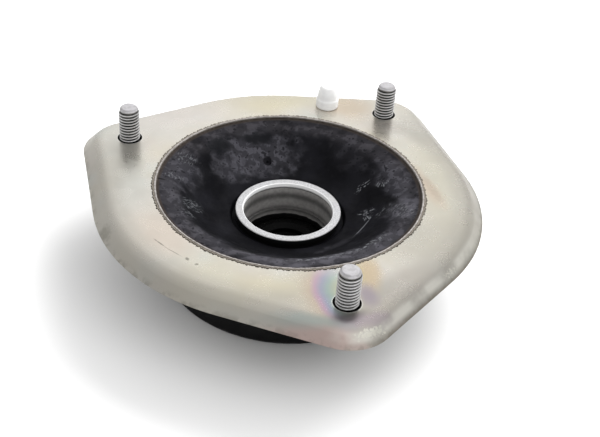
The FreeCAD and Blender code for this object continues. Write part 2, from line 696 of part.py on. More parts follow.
def make_rubber():
    """Rubber element, moulded and bonded between the shell and the housing."""
    body = new_body("rubber_element")
    turned(
        body,
        "Rubber",
        [
            ("rubber_rim", "rim_top"),
            ("rubber_rim", "plate_underside"),
            ("shell_wall_inner", "plate_underside"),
            ("shell_wall_inner", "rubber_foot"),
            ("foot_inner", "rubber_foot"),
            ("hollow_outer", "hollow_outer_top"),
            ("hollow_inner", "hollow_inner_top"),
            ("collar_outer", "collar_bottom"),
            ("housing_radius", "collar_bottom"),
            ("housing_radius", "shoulder_top"),
            ("neck_radius", "shoulder_top"),
            ("neck_radius", "sleeve_bottom"),
            ("sleeve_radius", "sleeve_bottom"),
            ("sleeve_radius", "groove_floor"),
            ("groove_floor_radius", "groove_floor"),
            ("groove_radius", "groove_edge"),
            ("dish_foot_radius", "dish_foot"),
            ("dish_shoulder_radius", "dish_shoulder"),
        ],
    )
    soften(body, "Fillet", "ShellBend", [("shell_wall_inner", "plate_underside")], "shell_bend")
    soften(body, "Fillet", "HousingBend", [("housing_radius", "shoulder_top")], "housing_bend")
    hollow_edges = [("hollow_outer", "hollow_outer_top"), ("hollow_inner", "hollow_inner_top")]
    soften(body, "Fillet", "Hollow", hollow_edges, "hollow_rounding")
    soften(body, "Fillet", "Shoulder", [("dish_shoulder_radius", "dish_shoulder")], "dish_rounding")
    soften(body, "Fillet", "DishFoot", [("dish_foot_radius", "dish_foot")], "foot_rounding")
    soften(body, "Fillet", "GrooveEdge", [("groove_radius", "groove_edge")], "groove_rounding")
    cut_pip(body)
    return body


def cut_pip(body):
    """Round moulding pip in the rear of the dish."""
    sketch = new_sketch(body, "PipCircle", "XY_Plane")
    centre = FreeCAD.Vector(0, value("pip_circle"), 0)
    sketch.addGeometry(Part.Circle(centre, FreeCAD.Vector(0, 0, 1), value("pip_radius")), False)
    tie_point(sketch, 0, 3, "middle", "pip_circle")
    tie_radius(sketch, 0, "pip_radius")
    before = body.Tip.Shape.Volume
    pip = body.newObject("PartDesign::Pocket", "Pip")
    pip.Profile = sketch
    pip.setExpression("Length", "Sizes.pip_drop")
    body.Tip = pip
    document.recompute()
    if pip.Shape.Volume > before - LEAST_CUT:
        raise RuntimeError("the pip cuts nothing")


def make_outer_race():
    """Outer race: ball track inside, step for the lower seal."""
    body = new_body("bearing_outer_race")
    turned(
        body,
        "Race",
        [
            ("outer_land", "race_top"),
            ("outer_land", "seal_step_top"),
            ("seal_seat", "seal_step_top"),
            ("seal_seat", "race_bottom"),
            ("bearing_radius", "race_bottom"),
            ("bearing_radius", "race_top"),
        ],
    )
    cut_track(body)
    corners = [("bearing_radius", "race_top"), ("bearing_radius", "race_bottom")]
    soften(body, "Chamfer", "Corners", corners, "race_chamfer")
    place(body, up="bearing_middle")
    return body


def make_inner_race():
    """Inner race: ball track outside, bore for the strut's rod, and an extended lower end."""
    body = new_body("bearing_inner_race")
    turned(
        body,
        "Race",
        [
            ("rod_radius", "inner_bottom"),
            ("inner_land", "inner_bottom"),
            ("inner_land", "inner_top"),
            ("rod_radius", "inner_top"),
        ],
    )
    cut_track(body)
    corners = [("rod_radius", "inner_top"), ("rod_radius", "inner_bottom")]
    corners += [("inner_land", "inner_top"), ("inner_land", "inner_bottom")]
    soften(body, "Chamfer", "Corners", corners, "race_chamfer")
    place(body, up="bearing_middle")
    return body


def cut_track(body):
    """Groove that the balls run in, on the ball circle."""
    sketch = new_sketch(body, "TrackSection", "XZ_Plane")
    centre = FreeCAD.Vector(value("pitch_radius"), 0, 0)
    sketch.addGeometry(Part.Circle(centre, FreeCAD.Vector(0, 0, 1), value("track_radius")), False)
    tie_point(sketch, 0, 3, "pitch_radius", "middle")
    tie_radius(sketch, 0, "track_radius")
    before = body.Tip.Shape.Volume
    groove = body.newObject("PartDesign::Groove", "Track")
    groove.Profile = sketch
    groove.ReferenceAxis = (sketch, ["V_Axis"])
    groove.Angle = FULL_TURN
    body.Tip = groove
    document.recompute()
    if groove.Shape.Volume > before - LEAST_CUT:
        raise RuntimeError("the ball track cuts nothing")


def make_cage():
    """Moulded crown cage: a ring with a round pocket for each ball, open at the top."""
    body = new_body("ball_cage")
    turned(
        body,
        "CageRing",
        [
            ("cage_inner", "cage_bottom"),
            ("cage_outer", "cage_bottom"),
            ("cage_outer", "cage_crown"),
            ("cage_inner", "cage_crown"),
        ],
    )
    before = body.Tip.Shape.Volume
    pocket = body.newObject("PartDesign::SubtractiveSphere", "BallPocket")
    pocket.setExpression("Radius", "Sizes.track_radius")
    pocket.AttachmentSupport = (origin_plane(body, "XY_Plane"), [""])
    pocket.MapMode = "FlatFace"
    pocket.setExpression("AttachmentOffset.Base.x", "Sizes.pitch_radius")
    document.recompute()
    around = body.newObject("PartDesign::PolarPattern", "BallPockets")
    around.Originals = [pocket]
    around.Axis = (origin_plane(body, "Z_Axis"), [""])
    around.Angle = FULL_TURN
    around.setExpression("Occurrences", "Sizes.ball_count")
    body.Tip = around
    document.recompute()
    if around.Shape.Volume > before - LEAST_CUT:
        raise RuntimeError("the pockets cut nothing")
    place(body, up="bearing_middle")
    return body


def make_balls():
    """Bearing balls, one in each pocket of the cage."""
    balls = []
    for number in range(int(value("ball_count"))):
        ball = document.addObject("Part::Sphere", "ball_%d" % (number + 1))
        ball.Label = "ball_%d" % (number + 1)
        ball.setExpression("Radius", "Sizes.ball_radius")
        ball.setExpression("Placement.Base.x", "Sizes.pitch_radius * cos(%d * Sizes.ball_turn)" % number)
        ball.setExpression("Placement.Base.y", "Sizes.pitch_radius * sin(%d * Sizes.ball_turn)" % number)
        ball.setExpression("Placement.Base.z", "Sizes.bearing_middle")
        balls.append(ball)
    return balls


def make_upper_seal():
    """Moulded dust seal, clamped under the housing's shoulder, with a raised bead."""
    body = new_body("upper_seal")
    turned(
        body,
        "Seal",
        [
            ("bearing_radius", "seal_flange_under"),
            ("bearing_radius", "middle"),
            ("seal_flange_inner", "middle"),
            ("seal_bead_outer", "seal_bead_top"),
            ("seal_bead_inner", "seal_bead_top"),
            ("seal_inner", "seal_lip_top"),
            ("seal_inner", "seal_lip_under"),
            ("seal_bead_inner", "seal_bead_under"),
            ("seal_bead_outer", "seal_bead_under"),
            ("seal_flange_inner", "seal_flange_under"),
        ],
    )
    bead = [("seal_bead_outer", "seal_bead_top"), ("seal_bead_inner", "seal_bead_top")]
    soften(body, "Fillet", "Bead", bead, "seal_bead_rounding")
    place(body, up="shoulder_under")
    return body


def make_lower_seal():
    """Flat seal in the outer race's step, with a running gap round the inner race."""
    body = new_body("lower_seal")
    turned(
        body,
        "Seal",
        [
            ("lower_seal_inner", "lower_seal_bottom"),
            ("lower_seal_radius", "lower_seal_bottom"),
            ("lower_seal_radius", "seal_step_top"),
            ("lower_seal_inner", "seal_step_top"),
        ],
    )
    place(body, up="bearing_middle")
    return body


def check_document():
    """Stop on any object that the document could not work out."""
    for item in document.Objects:
        if "Invalid" in item.State or "Error" in item.State:
            raise RuntimeError("%s: %s" % (item.Label, item.State))


def write_parts(pieces):
    """Write each piece under its label once its shape is sound."""
    os.makedirs("parts", exist_ok=True)
    for piece in pieces:
        shape = piece.Shape
        if shape.isNull() or not shape.isValid() or len(shape.Solids) != 1:
            raise RuntimeError(piece.Label + " is not one sound solid")
        shape.exportStep("parts/%s.step" % piece.Label)


fill_sheet()
pieces = [
    make_plate(),
    make_stud("stud_front", "middle", "front_y"),
    make_stud("stud_rear_right", "rear_x", "rear_y"),
    make_stud("stud_rear_left", "rear_x_left", "rear_y"),
    make_pin(),
    make_shell(),
    make_rubber(),
    make_top_ring(),
    make_sleeve(),
    make_housing(),
    make_outer_race(),
    make_inner_race(),
    make_cage(),
    make_upper_seal(),
    make_lower_seal(),
]
pieces += make_balls()
document.recompute()
check_document()
write_parts(pieces)
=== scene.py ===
import math

import bpy
import numpy as np
from mathutils import Matrix, Vector


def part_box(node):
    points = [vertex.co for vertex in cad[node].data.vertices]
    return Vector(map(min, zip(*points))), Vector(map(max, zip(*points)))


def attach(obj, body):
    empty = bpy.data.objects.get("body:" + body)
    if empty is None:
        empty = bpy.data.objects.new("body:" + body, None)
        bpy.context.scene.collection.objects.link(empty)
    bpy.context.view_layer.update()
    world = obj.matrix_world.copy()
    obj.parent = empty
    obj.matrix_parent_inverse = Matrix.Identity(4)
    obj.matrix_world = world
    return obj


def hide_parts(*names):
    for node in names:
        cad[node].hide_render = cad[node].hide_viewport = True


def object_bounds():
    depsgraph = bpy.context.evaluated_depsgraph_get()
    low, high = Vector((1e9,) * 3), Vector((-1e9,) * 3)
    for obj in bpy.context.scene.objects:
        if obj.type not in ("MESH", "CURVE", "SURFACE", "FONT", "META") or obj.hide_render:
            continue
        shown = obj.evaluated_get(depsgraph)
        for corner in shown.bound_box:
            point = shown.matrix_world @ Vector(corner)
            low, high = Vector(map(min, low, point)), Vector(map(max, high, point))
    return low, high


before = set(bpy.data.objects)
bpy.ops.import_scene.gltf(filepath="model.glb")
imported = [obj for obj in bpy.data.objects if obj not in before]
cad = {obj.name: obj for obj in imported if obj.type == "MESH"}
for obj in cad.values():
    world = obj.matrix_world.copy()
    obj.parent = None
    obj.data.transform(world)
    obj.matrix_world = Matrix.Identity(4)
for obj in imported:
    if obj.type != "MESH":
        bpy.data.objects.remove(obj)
solid_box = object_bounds()


# Mounting plate. One pressing of 3 mm steel with its edge turned down, zinc plated and then passivated:
# a thin yellowish film with rainbow stains where the bath ran off, and scuffs along the edge. Painted light
# is on it as well: painted shade greyer towards the edge and over the front corner, a painted reflection of
# the front stud, painted highlights on the turned edge and round the stud holes, and painted shade in the
# holes, on the turned edge and along its foot.

MM_PER_METRE = 1000.0
STUD_NODES = ("stud_front", "stud_rear_right", "stud_rear_left")
SIDE_RADIUS = 73.0  # the plate's outline about the strut's axis, mm
LOBE_RADII = (16.6, 18.2, 18.2)  # its outline about each stud
LOBE_BLEND = 4.0
# painted shade: the flat greyer towards its outline, less so at the rear
EDGE_SHADE_REACH = (7.0, 15.0)  # distances from the outline, mm
EDGE_SHADE_DEPTHS = (24.0, 50.0)  # depths at which the grey edge gives way to the film at the rear
HOLE_WALL = (4.84, 4.9)  # distances from a stud's axis, mm
RIM_HIGHLIGHT_RISE = (4.75, 4.9)
RIM_HIGHLIGHT_FALL = (5.0, 5.3)
ROLLED = (-4.2, -0.1)  # heights on the turned edge, mm
DUSTY = (-5.4, -3.6)
HIGHLIGHT_RISE = (-4.9, -3.3)
HIGHLIGHT_FALL = (-2.4, -0.9)
SHADED_FOOT = (-5.6, -4.3)
HOLE_SHADE = (-0.5, -0.1)
CUT_EDGE = (-5.9, -5.6)

# Marks. Each row: centre and half lengths in mm, turn in degrees, colour from 0 to 255, and amount.
FILM_MARKS = [
    ((8, 62, 0), (26, 8, 9), 0, (220, 212, 184), 0.75),
    ((41, 52, 0), (9, 9, 9), 20, (214, 196, 172), 0.75),
    ((-28, 58, 0), (22, 9, 9), 12, (228, 222, 216), 0.75),
    ((-58, 22, 0), (8, 34, 9), 0, (212, 212, 205), 0.75),
    ((-52, -20, 0), (10, 14, 9), 20, (220, 207, 193), 0.75),
    ((-40, -47, 0), (12, 9, 9), -40, (216, 210, 190), 0.75),
    ((-20, -58, 0), (16, 7, 9), -12, (216, 208, 182), 0.75),
    ((57, -12, 0), (9, 34, 9), -8, (208, 205, 190), 0.75),
    ((38, -42, 0), (15, 13, 9), 40, (196, 192, 180), 0.75),
    ((51, -10, 0), (3, 13, 9), 4, (214, 198, 180), 0.75),
    ((10, -58, 0), (4, 11, 9), -12, (212, 197, 166), 0.75),
]
# painted shade: a broad darker patch over the front corner of the flat
CORNER_SHADE_MARKS = [((10, -74, 0), (34, 13, 30), 6, (180, 174, 166), 0.55)]
RUN_OFF_AND_REFLECTION_MARKS = [
    ((8, -56, 0), (2.4, 5, 9), -10, (202, 196, 150), 0.7),
    ((12.5, -56, 0), (3.5, 8, 9), -14, (208, 188, 158), 0.7),
    ((8, -67, 0), (3.0, 5.5, 9), 0, (166, 155, 168), 0.7),
    # painted reflection: the dark patch in front of the front stud is the stud mirrored in the plate
    ((-1, -76, 0), (6, 2.2, 9), 10, (104, 92, 100), 0.6),
    ((5, -78, 0), (10, 2.4, 9), 8, (176, 162, 172), 0.6),
]
EDGE_BLUE = [((-14, -74, -1), (11, 2.6, 20), -27, (172, 182, 178), 0.7)]
EDGE_PINK = [((-12, -79.5, -2), (17, 3.0, 20), -27, (206, 178, 172), 0.7)]
WEAR_MARKS = [
    ((-70.5, -12, -1), (1.6, 3.6, 6), 8, (126, 122, 108), 0.45),
    ((-53.5, -26, 0), (0.22, 2.6, 2), 30, (110, 106, 96), 0.7),
    ((-50, -31.5, 0), (0.16, 3.4, 2), 36, (130, 126, 116), 0.6),
    ((-46.1, -36.4, 0), (0.6, 0.8, 2), 0, (110, 108, 98), 0.7),
    ((-43.6, -39.8, 0), (0.6, 0.5, 2), 0, (110, 108, 98), 0.6),
    ((52.5, -12, 0), (1.6, 9, 3), 2, (176, 160, 142), 0.3),
]
EDGE_SCUFFS = [
    ((9, -81.5, -2), (9, 1.4, 1.6), 8, (236, 234, 222), 0.8),
    ((42, -58, -2), (4, 1.2, 1.6), 40, (236, 234, 222), 0.8),
    ((28, -70, -2), (12, 0.9, 1.5), 38, (236, 234, 222), 0.8),
]
RAINBOW_REACH = 1.6
RAINBOW = [
    (0.0, (196, 192, 160)),
    (0.3, (182, 192, 170)),
    (0.43, (158, 182, 178)),
    (0.55, (158, 162, 186)),
    (0.66, (192, 160, 182)),
    (0.78, (202, 186, 168)),
    (1.0, (206, 198, 180)),
]


def paint(red, green, blue):
    """A colour as it is seen, 0 to 255, turned into the linear values that a shader takes."""
    seen = np.array([red, green, blue]) / 255.0
    linear = np.where(seen <= 0.04045, seen / 12.92, ((seen + 0.055) / 1.055) ** 2.4)
    return (*map(float, linear), 1.0)


def add(tree, kind, inputs, **settings):
    """One shader node, with its own settings, and its inputs filled by name or number."""
    node = tree.nodes.new(kind)
    for key, setting in settings.items():
        setattr(node, key, setting)
    for key, source in inputs.items():
        if isinstance(source, bpy.types.NodeSocket):
            tree.links.new(source, node.inputs[key])
        else:
            node.inputs[key].default_value = source
    return node


def reckon(tree, operation, *inputs):
    """A number worked out from numbers by one Math node."""
    return add(tree, "ShaderNodeMath", dict(enumerate(inputs)), operation=operation).outputs[0]


def times(tree, first, *others):
    """The product of some values."""
    for other in others:
        first = reckon(tree, "MULTIPLY", first, other)
    return first


def distance(tree, place, centre):
    """How far a place is from a fixed point."""
    inputs = {0: place, 1: centre}
    return add(tree, "ShaderNodeVectorMath", inputs, operation="DISTANCE").outputs["Value"]


def polar(tree, place):
    """A place's distance from the strut's axis, its height, and the place set down to height 0."""
    split = add(tree, "ShaderNodeSeparateXYZ", {0: place}).outputs
    level = add(tree, "ShaderNodeCombineXYZ", {0: split["X"], 1: split["Y"]}).outputs[0]
    radius = add(tree, "ShaderNodeVectorMath", {0: level}, operation="LENGTH").outputs["Value"]
    return radius, split["Z"], level


def cover(tree, mask, under, over):
    """The colour under, with the colour over on it where the mask is one."""
    mix = add(tree, "ShaderNodeMix", {0: mask, 6: under, 7: over}, data_type="RGBA")
    return mix.outputs[2]


def stain(tree, colour, mask, amount, tone):
    """The colour, with a tone on it to the given amount where the mask is one."""
    return cover(tree, times(tree, mask, amount), colour, tone)


def ramp(tree, value, low, high, at_low=0.0, at_high=1.0):
    """A value that runs smoothly from at_low to at_high while the given one runs from low to high."""
    inputs = {0: value, 1: low, 2: high, 3: at_low, 4: at_high}
    return add(tree, "ShaderNodeMapRange", inputs, interpolation_type="SMOOTHSTEP").outputs[0]


def fade(tree, value, low, high, most=1.0):
    """A value that falls smoothly from most to 0 while the given one runs from low to high."""
    return ramp(tree, value, low, high, most, 0.0)


def band(tree, value, rise, fall):
    """A value that rises from 0 to 1 over one range of the given one, and falls back over another."""
    return times(tree, ramp(tree, value, *rise), fade(tree, value, *fall))


def banded(tree, value, stops):
    """The colour at a value along a row of stops, each a position from 0 to 1 and a colour."""
    node = add(tree, "ShaderNodeValToRGB", {0: value})
    elements = node.color_ramp.elements
    for element, (position, tone) in zip(elements, (stops[0], stops[-1])):
        element.position, element.color = position, paint(*tone)
    for position, tone in stops[1:-1]:
        elements.new(position).color = paint(*tone)
    return node.outputs[0]


def new_finish(name, colour, metallic, roughness, **constants):
    """A material with one Principled shader, and the point on the object in millimetres."""
    material = bpy.data.materials.new(name)
    material.use_nodes = True
    tree = material.node_tree
    shader = tree.nodes["Principled BSDF"]
    shader.inputs["Base Color"].default_value = colour
    shader.inputs["Metallic"].default_value = metallic
    shader.inputs["Roughness"].default_value = roughness
    for key, constant in constants.items():
        shader.inputs[key.replace("_", " ")].default_value = constant
    point = add(tree, "ShaderNodeTexCoord", {}).outputs["Object"]
    inputs = {0: point, "Scale": MM_PER_METRE}
    place = add(tree, "ShaderNodeVectorMath", inputs, operation="SCALE").outputs[0]
    return material, tree, shader, place


def new_group(name, inputs, outputs):
    """An empty node group: its inputs with their usual values, and its outputs."""
    group = bpy.data.node_groups.new(name, "ShaderNodeTree")
    for label, kind, usual in inputs:
        socket = group.interface.new_socket(label, in_out="INPUT", socket_type="NodeSocket" + kind)
        socket.default_value = usual
    for label, kind in outputs:
        group.interface.new_socket(label, in_out="OUTPUT", socket_type="NodeSocket" + kind)
    return group, group.nodes.new("NodeGroupInput").outputs, group.nodes.new("NodeGroupOutput").inputs


def make_mottle_group():
    """Mask of soft blotches: noise over the place divided by the blotch size, cut between two levels."""
    group, given, result = new_group(
        "mottle",
        [
            ("Place", "Vector", (0, 0, 0)),
            ("Size", "Float", 10.0),
            ("Low", "Float", 0.45),
            ("High", "Float", 0.6),
        ],
        [("Mask", "Float")],
    )
    scale = reckon(group, "DIVIDE", 1.0, given["Size"])
    noise = add(group, "ShaderNodeTexNoise", {"Vector": given["Place"], "Scale": scale, "Detail": 3.0})
    group.links.new(ramp(group, noise.outputs[0], given["Low"], given["High"]), result["Mask"])
    return group


def make_spot_group():
    """Mask of one mark: the distance from its centre, turned and divided by its reach along each axis,
    made uneven by noise, and cut softly at one."""
    group, given, result = new_group(
        "spot",
        [
            ("Place", "Vector", (0, 0, 0)),
            ("Centre", "Vector", (0, 0, 0)),
            ("Reach", "Vector", (1, 1, 1)),
            ("Turn", "Float", 0.0),
            ("Softness", "Float", 0.5),
            ("Raggedness", "Float", 0.5),
            ("Grain", "Float", 2.0),
        ],
        [("Mask", "Float"), ("Distance", "Float")],
    )
    inputs = {0: given["Place"], 1: given["Centre"]}
    from_centre = add(group, "ShaderNodeVectorMath", inputs, operation="SUBTRACT").outputs[0]
    inputs = {"Vector": from_centre, "Angle": times(group, given["Turn"], -1.0)}
    turned = add(group, "ShaderNodeVectorRotate", inputs, rotation_type="Z_AXIS").outputs[0]
    inputs = {0: turned, 1: given["Reach"]}
    shared = add(group, "ShaderNodeVectorMath", inputs, operation="DIVIDE").outputs[0]
    away = add(group, "ShaderNodeVectorMath", {0: shared}, operation="LENGTH").outputs["Value"]
    scale = reckon(group, "DIVIDE", 1.0, given["Grain"])
    noise = add(group, "ShaderNodeTexNoise", {"Vector": given["Place"], "Scale": scale, "Detail": 3.0})
    centred = reckon(group, "SUBTRACT", noise.outputs[0], 0.5)
    ragged = reckon(group, "ADD", away, times(group, centred, given["Raggedness"], 2.0))
    inner = reckon(group, "SUBTRACT", 1.0, given["Softness"])
    outer = reckon(group, "ADD", 1.0, given["Softness"])
    group.links.new(fade(group, ragged, inner, outer), result["Mask"])
    group.links.new(ragged, result["Distance"])
    return group


def make_scratch_group():
    """Mask of fine scratches that run one way: noise on the place, turned and then squeezed across the
    scratches and drawn out along them, of which only the highest parts are kept."""
    group, given, result = new_group(
        "scratches",
        [
            ("Place", "Vector", (0, 0, 0)),
            ("Turn", "Float", 0.0),
            ("Length", "Float", 6.0),
            ("Width", "Float", 0.4),
            ("Level", "Float", 0.6),
        ],
        [("Mask", "Float")],
    )
    inputs = {"Vector": given["Place"], "Angle": times(group, given["Turn"], -1.0)}
    turned = add(group, "ShaderNodeVectorRotate", inputs, rotation_type="Z_AXIS").outputs[0]
    inputs = {0: given["Length"], 1: given["Width"], 2: given["Length"]}
    sizes = add(group, "ShaderNodeCombineXYZ", inputs).outputs[0]
    shared = add(group, "ShaderNodeVectorMath", {0: turned, 1: sizes}, operation="DIVIDE").outputs[0]
    inputs = {"Vector": shared, "Scale": 1.0, "Detail": 2.0, "Distortion": 0.2}
    noise = add(group, "ShaderNodeTexNoise", inputs).outputs[0]
    above = reckon(group, "ADD", given["Level"], 0.06)
    group.links.new(ramp(group, noise, given["Level"], above), result["Mask"])
    return group


mottle_group = make_mottle_group()
spot_group = make_spot_group()
scratch_group = make_scratch_group()


def mottle(tree, place, size, low=0.45, high=0.6):
    """Blotches of about a size in millimetres."""
    inputs = {"Place": place, "Size": size, "Low": low, "High": high}
    return add(tree, "ShaderNodeGroup", inputs, node_tree=mottle_group).outputs["Mask"]


def uneven(tree, blotches, least, most):
    """A value that goes from least to most with the mask of the blotches."""
    return ramp(tree, blotches, 0.0, 1.0, least, most)


def spot(tree, place, centre, reach, turn, softness, raggedness, grain):
    """One mark: its centre and half lengths in millimetres, its turn in degrees, how softly it ends, how
    far its edge wanders, and the size of the wandering in millimetres."""
    inputs = {
        "Place": place,
        "Centre": centre,
        "Reach": reach,
        "Turn": math.radians(turn),
        "Softness": softness,
        "Raggedness": raggedness,
        "Grain": grain,
    }
    return add(tree, "ShaderNodeGroup", inputs, node_tree=spot_group).outputs


def marks(tree, place, colour, rows, **edge):
    """The colour with the marks of a table on it, all with the same kind of edge."""
    for centre, reach, turn, tone, amount in rows:
        mask = spot(tree, place, centre, reach, turn, **edge)["Mask"]
        colour = stain(tree, colour, mask, amount, paint(*tone))
    return colour


def scratches(tree, place, turn, length, width, level):
    """Scratches of about a length and width in millimetres, turned in degrees from X."""
    inputs = {"Place": place, "Turn": math.radians(turn), "Length": length, "Width": width, "Level": level}
    return add(tree, "ShaderNodeGroup", inputs, node_tree=scratch_group).outputs["Mask"]


def relief(tree, shader, place, *parts):
    """Bump from noise: each part is a grain size in millimetres and a height in metres."""
    lifts = []
    for grain, depth in parts:
        noise = add(tree, "ShaderNodeTexNoise", {"Vector": place, "Scale": 1.0 / grain, "Detail": 2.0})
        lifts.append(times(tree, noise.outputs[0], depth))
    height = lifts[0]
    for lift in lifts[1:]:
        height = reckon(tree, "ADD", height, lift)
    bump = add(tree, "ShaderNodeBump", {"Height": height, "Distance": 1.0})
    tree.links.new(bump.outputs[0], shader.inputs["Normal"])


def complete(tree, shader, place, colour, rough, *parts):
    """Give the shader its colour, its roughness and its bump."""
    tree.links.new(colour, shader.inputs["Base Color"])
    tree.links.new(rough, shader.inputs["Roughness"])
    relief(tree, shader, place, *parts)


def dress(material, *names):
    """Give CAD nodes their finish."""
    for name in names:
        cad[name].data.materials.clear()
        cad[name].data.materials.append(material)


def middle_of(label):
    """X and Y of the middle of a CAD node, in millimetres."""
    low_corner, high_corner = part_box(label)
    middle = (low_corner + high_corner) * (MM_PER_METRE / 2)
    return middle.x, middle.y


def add_rainbow(tree, place, colour):
    """Rings of film colours about the front stud, strong only at its left."""
    rings = spot(tree, place, (2.5, -66, 0), (10.5, 17, 40), 0, softness=0.1, raggedness=0.1, grain=8.0)
    tones = banded(tree, reckon(tree, "DIVIDE", rings["Distance"], RAINBOW_REACH), RAINBOW)
    strong = spot(tree, place, (-6, -63, 0), (9.5, 14, 40), 4, softness=0.5, raggedness=0.2, grain=9.0)
    return stain(tree, colour, strong["Mask"], 0.8, tones)


def add_edge_wear(tree, place, colour, height, rolled):
    """The turned edge: a little darker as painted shade, dusty below, with a painted highlight as a light
    band at the front right, painted shade along its foot there, bare where it was cut, and scuffed at the
    front corner."""
    # painted shade: the whole turned edge a little darker
    colour = stain(tree, colour, rolled, 0.12, paint(148, 145, 137))
    dust = times(tree, fade(tree, height, *DUSTY), mottle(tree, place, 3.0, 0.45, 0.62))
    colour = stain(tree, colour, dust, 0.3, paint(104, 100, 88))
    # painted highlight: a light band along the crest of the turned edge at the front right
    crest = band(tree, height, HIGHLIGHT_RISE, HIGHLIGHT_FALL)
    side = spot(tree, place, (27, -69, -1), (46, 15, 60), 36, softness=0.4, raggedness=0.3, grain=9.0)
    crest = times(tree, crest, side["Mask"], mottle(tree, place, 9.0, 0.25, 0.65))
    colour = stain(tree, colour, crest, 0.7, paint(244, 242, 233))
    sideways = add(tree, "ShaderNodeSeparateXYZ", {0: place}).outputs["X"]
    # painted shade: the foot of the turned edge darker towards the right
    foot_shade = times(tree, fade(tree, height, *SHADED_FOOT, 0.6), ramp(tree, sideways, 0.0, 16.0))
    colour = cover(tree, foot_shade, colour, paint(122, 115, 100))
    colour = cover(tree, fade(tree, height, *CUT_EDGE), colour, paint(176, 172, 158))
    return marks(tree, place, colour, EDGE_SCUFFS, softness=0.4, raggedness=1.7, grain=0.8)


def make_plate_finish():
    material, tree, shader, place = new_finish("zinc_plate", paint(212, 207, 196), 0.9, 0.3)
    colour = cover(tree, mottle(tree, place, 38.0, 0.35, 0.7), paint(222, 219, 211), paint(223, 216, 200))
    colour = cover(tree, mottle(tree, place, 23.0, 0.45, 0.75), colour, paint(219, 212, 203))
    colour = cover(tree, mottle(tree, place, 15.0, 0.5, 0.8), colour, paint(214, 216, 210))
    colour = marks(tree, place, colour, FILM_MARKS, softness=0.8, raggedness=0.35, grain=16.0)

    from_axis, height, level = polar(tree, place)
    from_studs = [distance(tree, level, (*middle_of(label), 0.0)) for label in STUD_NODES]
    inward = reckon(tree, "SUBTRACT", SIDE_RADIUS, from_axis)
    for away, lobe in zip(from_studs, LOBE_RADII):
        inward = reckon(tree, "SMOOTH_MAX", inward, reckon(tree, "SUBTRACT", lobe, away), LOBE_BLEND)
    rearward = add(tree, "ShaderNodeSeparateXYZ", {0: place}).outputs["Y"]
    # painted shade: the flat greyer within a few millimetres of its outline, fading towards the rear
    edge_shade = times(tree, fade(tree, inward, *EDGE_SHADE_REACH, 0.6), ramp(tree, rearward, *EDGE_SHADE_DEPTHS, 1.0, 0.2))
    colour = cover(tree, edge_shade, colour, paint(182, 178, 169))
    colour = marks(tree, place, colour, CORNER_SHADE_MARKS, softness=0.6, raggedness=0.3, grain=12.0)

    colour = add_rainbow(tree, place, colour)
    colour = marks(tree, place, colour, RUN_OFF_AND_REFLECTION_MARKS, softness=0.7, raggedness=0.3, grain=6.0)
    colour = marks(tree, place, colour, EDGE_BLUE, softness=0.6, raggedness=0.5, grain=7.0)
    colour = marks(tree, place, colour, EDGE_PINK, softness=0.5, raggedness=0.5, grain=7.0)
    colour = marks(tree, place, colour, WEAR_MARKS, softness=0.5, raggedness=0.8, grain=1.5)
    rolled = fade(tree, height, *ROLLED)
    colour = add_edge_wear(tree, place, colour, height, rolled)

    for away in from_studs:
        # painted highlight: a light ring round the rim of each stud hole
        colour = stain(tree, colour, band(tree, away, RIM_HIGHLIGHT_RISE, RIM_HIGHLIGHT_FALL), 0.6, paint(232, 231, 226))
        # painted shade: the walls of the stud holes dark
        painted_hole_shade = times(tree, fade(tree, away, *HOLE_WALL), fade(tree, height, *HOLE_SHADE))
        colour = cover(tree, painted_hole_shade, colour, paint(34, 33, 31))

    rough = uneven(tree, mottle(tree, place, 9.0, 0.35, 0.7), 0.26, 0.38)
    rough = reckon(tree, "ADD", rough, times(tree, rolled, 0.08))
    complete(tree, shader, place, colour, rough, (1.6, 1.5e-6), (9.0, 4e-5))
    return material


dress(make_plate_finish(), "mounting_plate")


# Studs. Three M8 studs with rolled threads, a smooth tapered point, and a splined neck and a head
# that were pressed into the plate from below. Zinc plated steel, coloured with painted light: painted shade
# in the thread roots and on the neck in the plate's hole, painted highlights on the crests and the point.

STUD_TURNS = 96
THREAD_ROWS = 200
THREAD_PITCH = 1.25
THREAD_OUTER = 3.99
THREAD_ROOT = 3.25
THREAD_START = -0.6
THREAD_END = 12.9
THREAD_SLOPE = 1.22 / 0.86  # how steeply a crest rises over half a pitch
THREAD_FLAT = 0.12  # how much of that rise the root's floor takes
OUTER_TAPERS = 11.9  # heights at which the crests and the roots start to run into the point
ROOT_TAPERS = 11.6
POINT_RADIUS = 3.55
STUD_FOOT = -5.4
STUD_TOP = 13.8
NECK_BOTTOM = -2.9
FOOT_ROUNDING = 0.2
POINT_ROUNDING = 0.3
# painted light levels: the head in a middle tone, the point painted lighter
HEAD_LIGHT_LEVEL = 0.6
POINT_LIGHT_LEVEL = 0.85
FOOT_PROFILE = [
    (0.0, STUD_FOOT),
    (6.4, STUD_FOOT),
    (7.0, -4.8),
    (7.0, -3.02),
    (4.79, -3.0),
    (4.79, -1.2),
    (3.4, -1.2),
]
POINT_PROFILE = [(POINT_RADIUS, THREAD_END), (3.0, 13.7), (2.7, STUD_TOP), (0.0, STUD_TOP)]
# painted light: from painted shade in the thread roots to painted highlights on the crests
STUD_SHADE_AND_HIGHLIGHT_TONES = [
    (0.0, (12, 12, 11)),
    (0.38, (58, 57, 55)),
    (0.7, (176, 176, 174)),
    (0.85, (208, 206, 209)),
    (1.0, (240, 240, 239)),
]


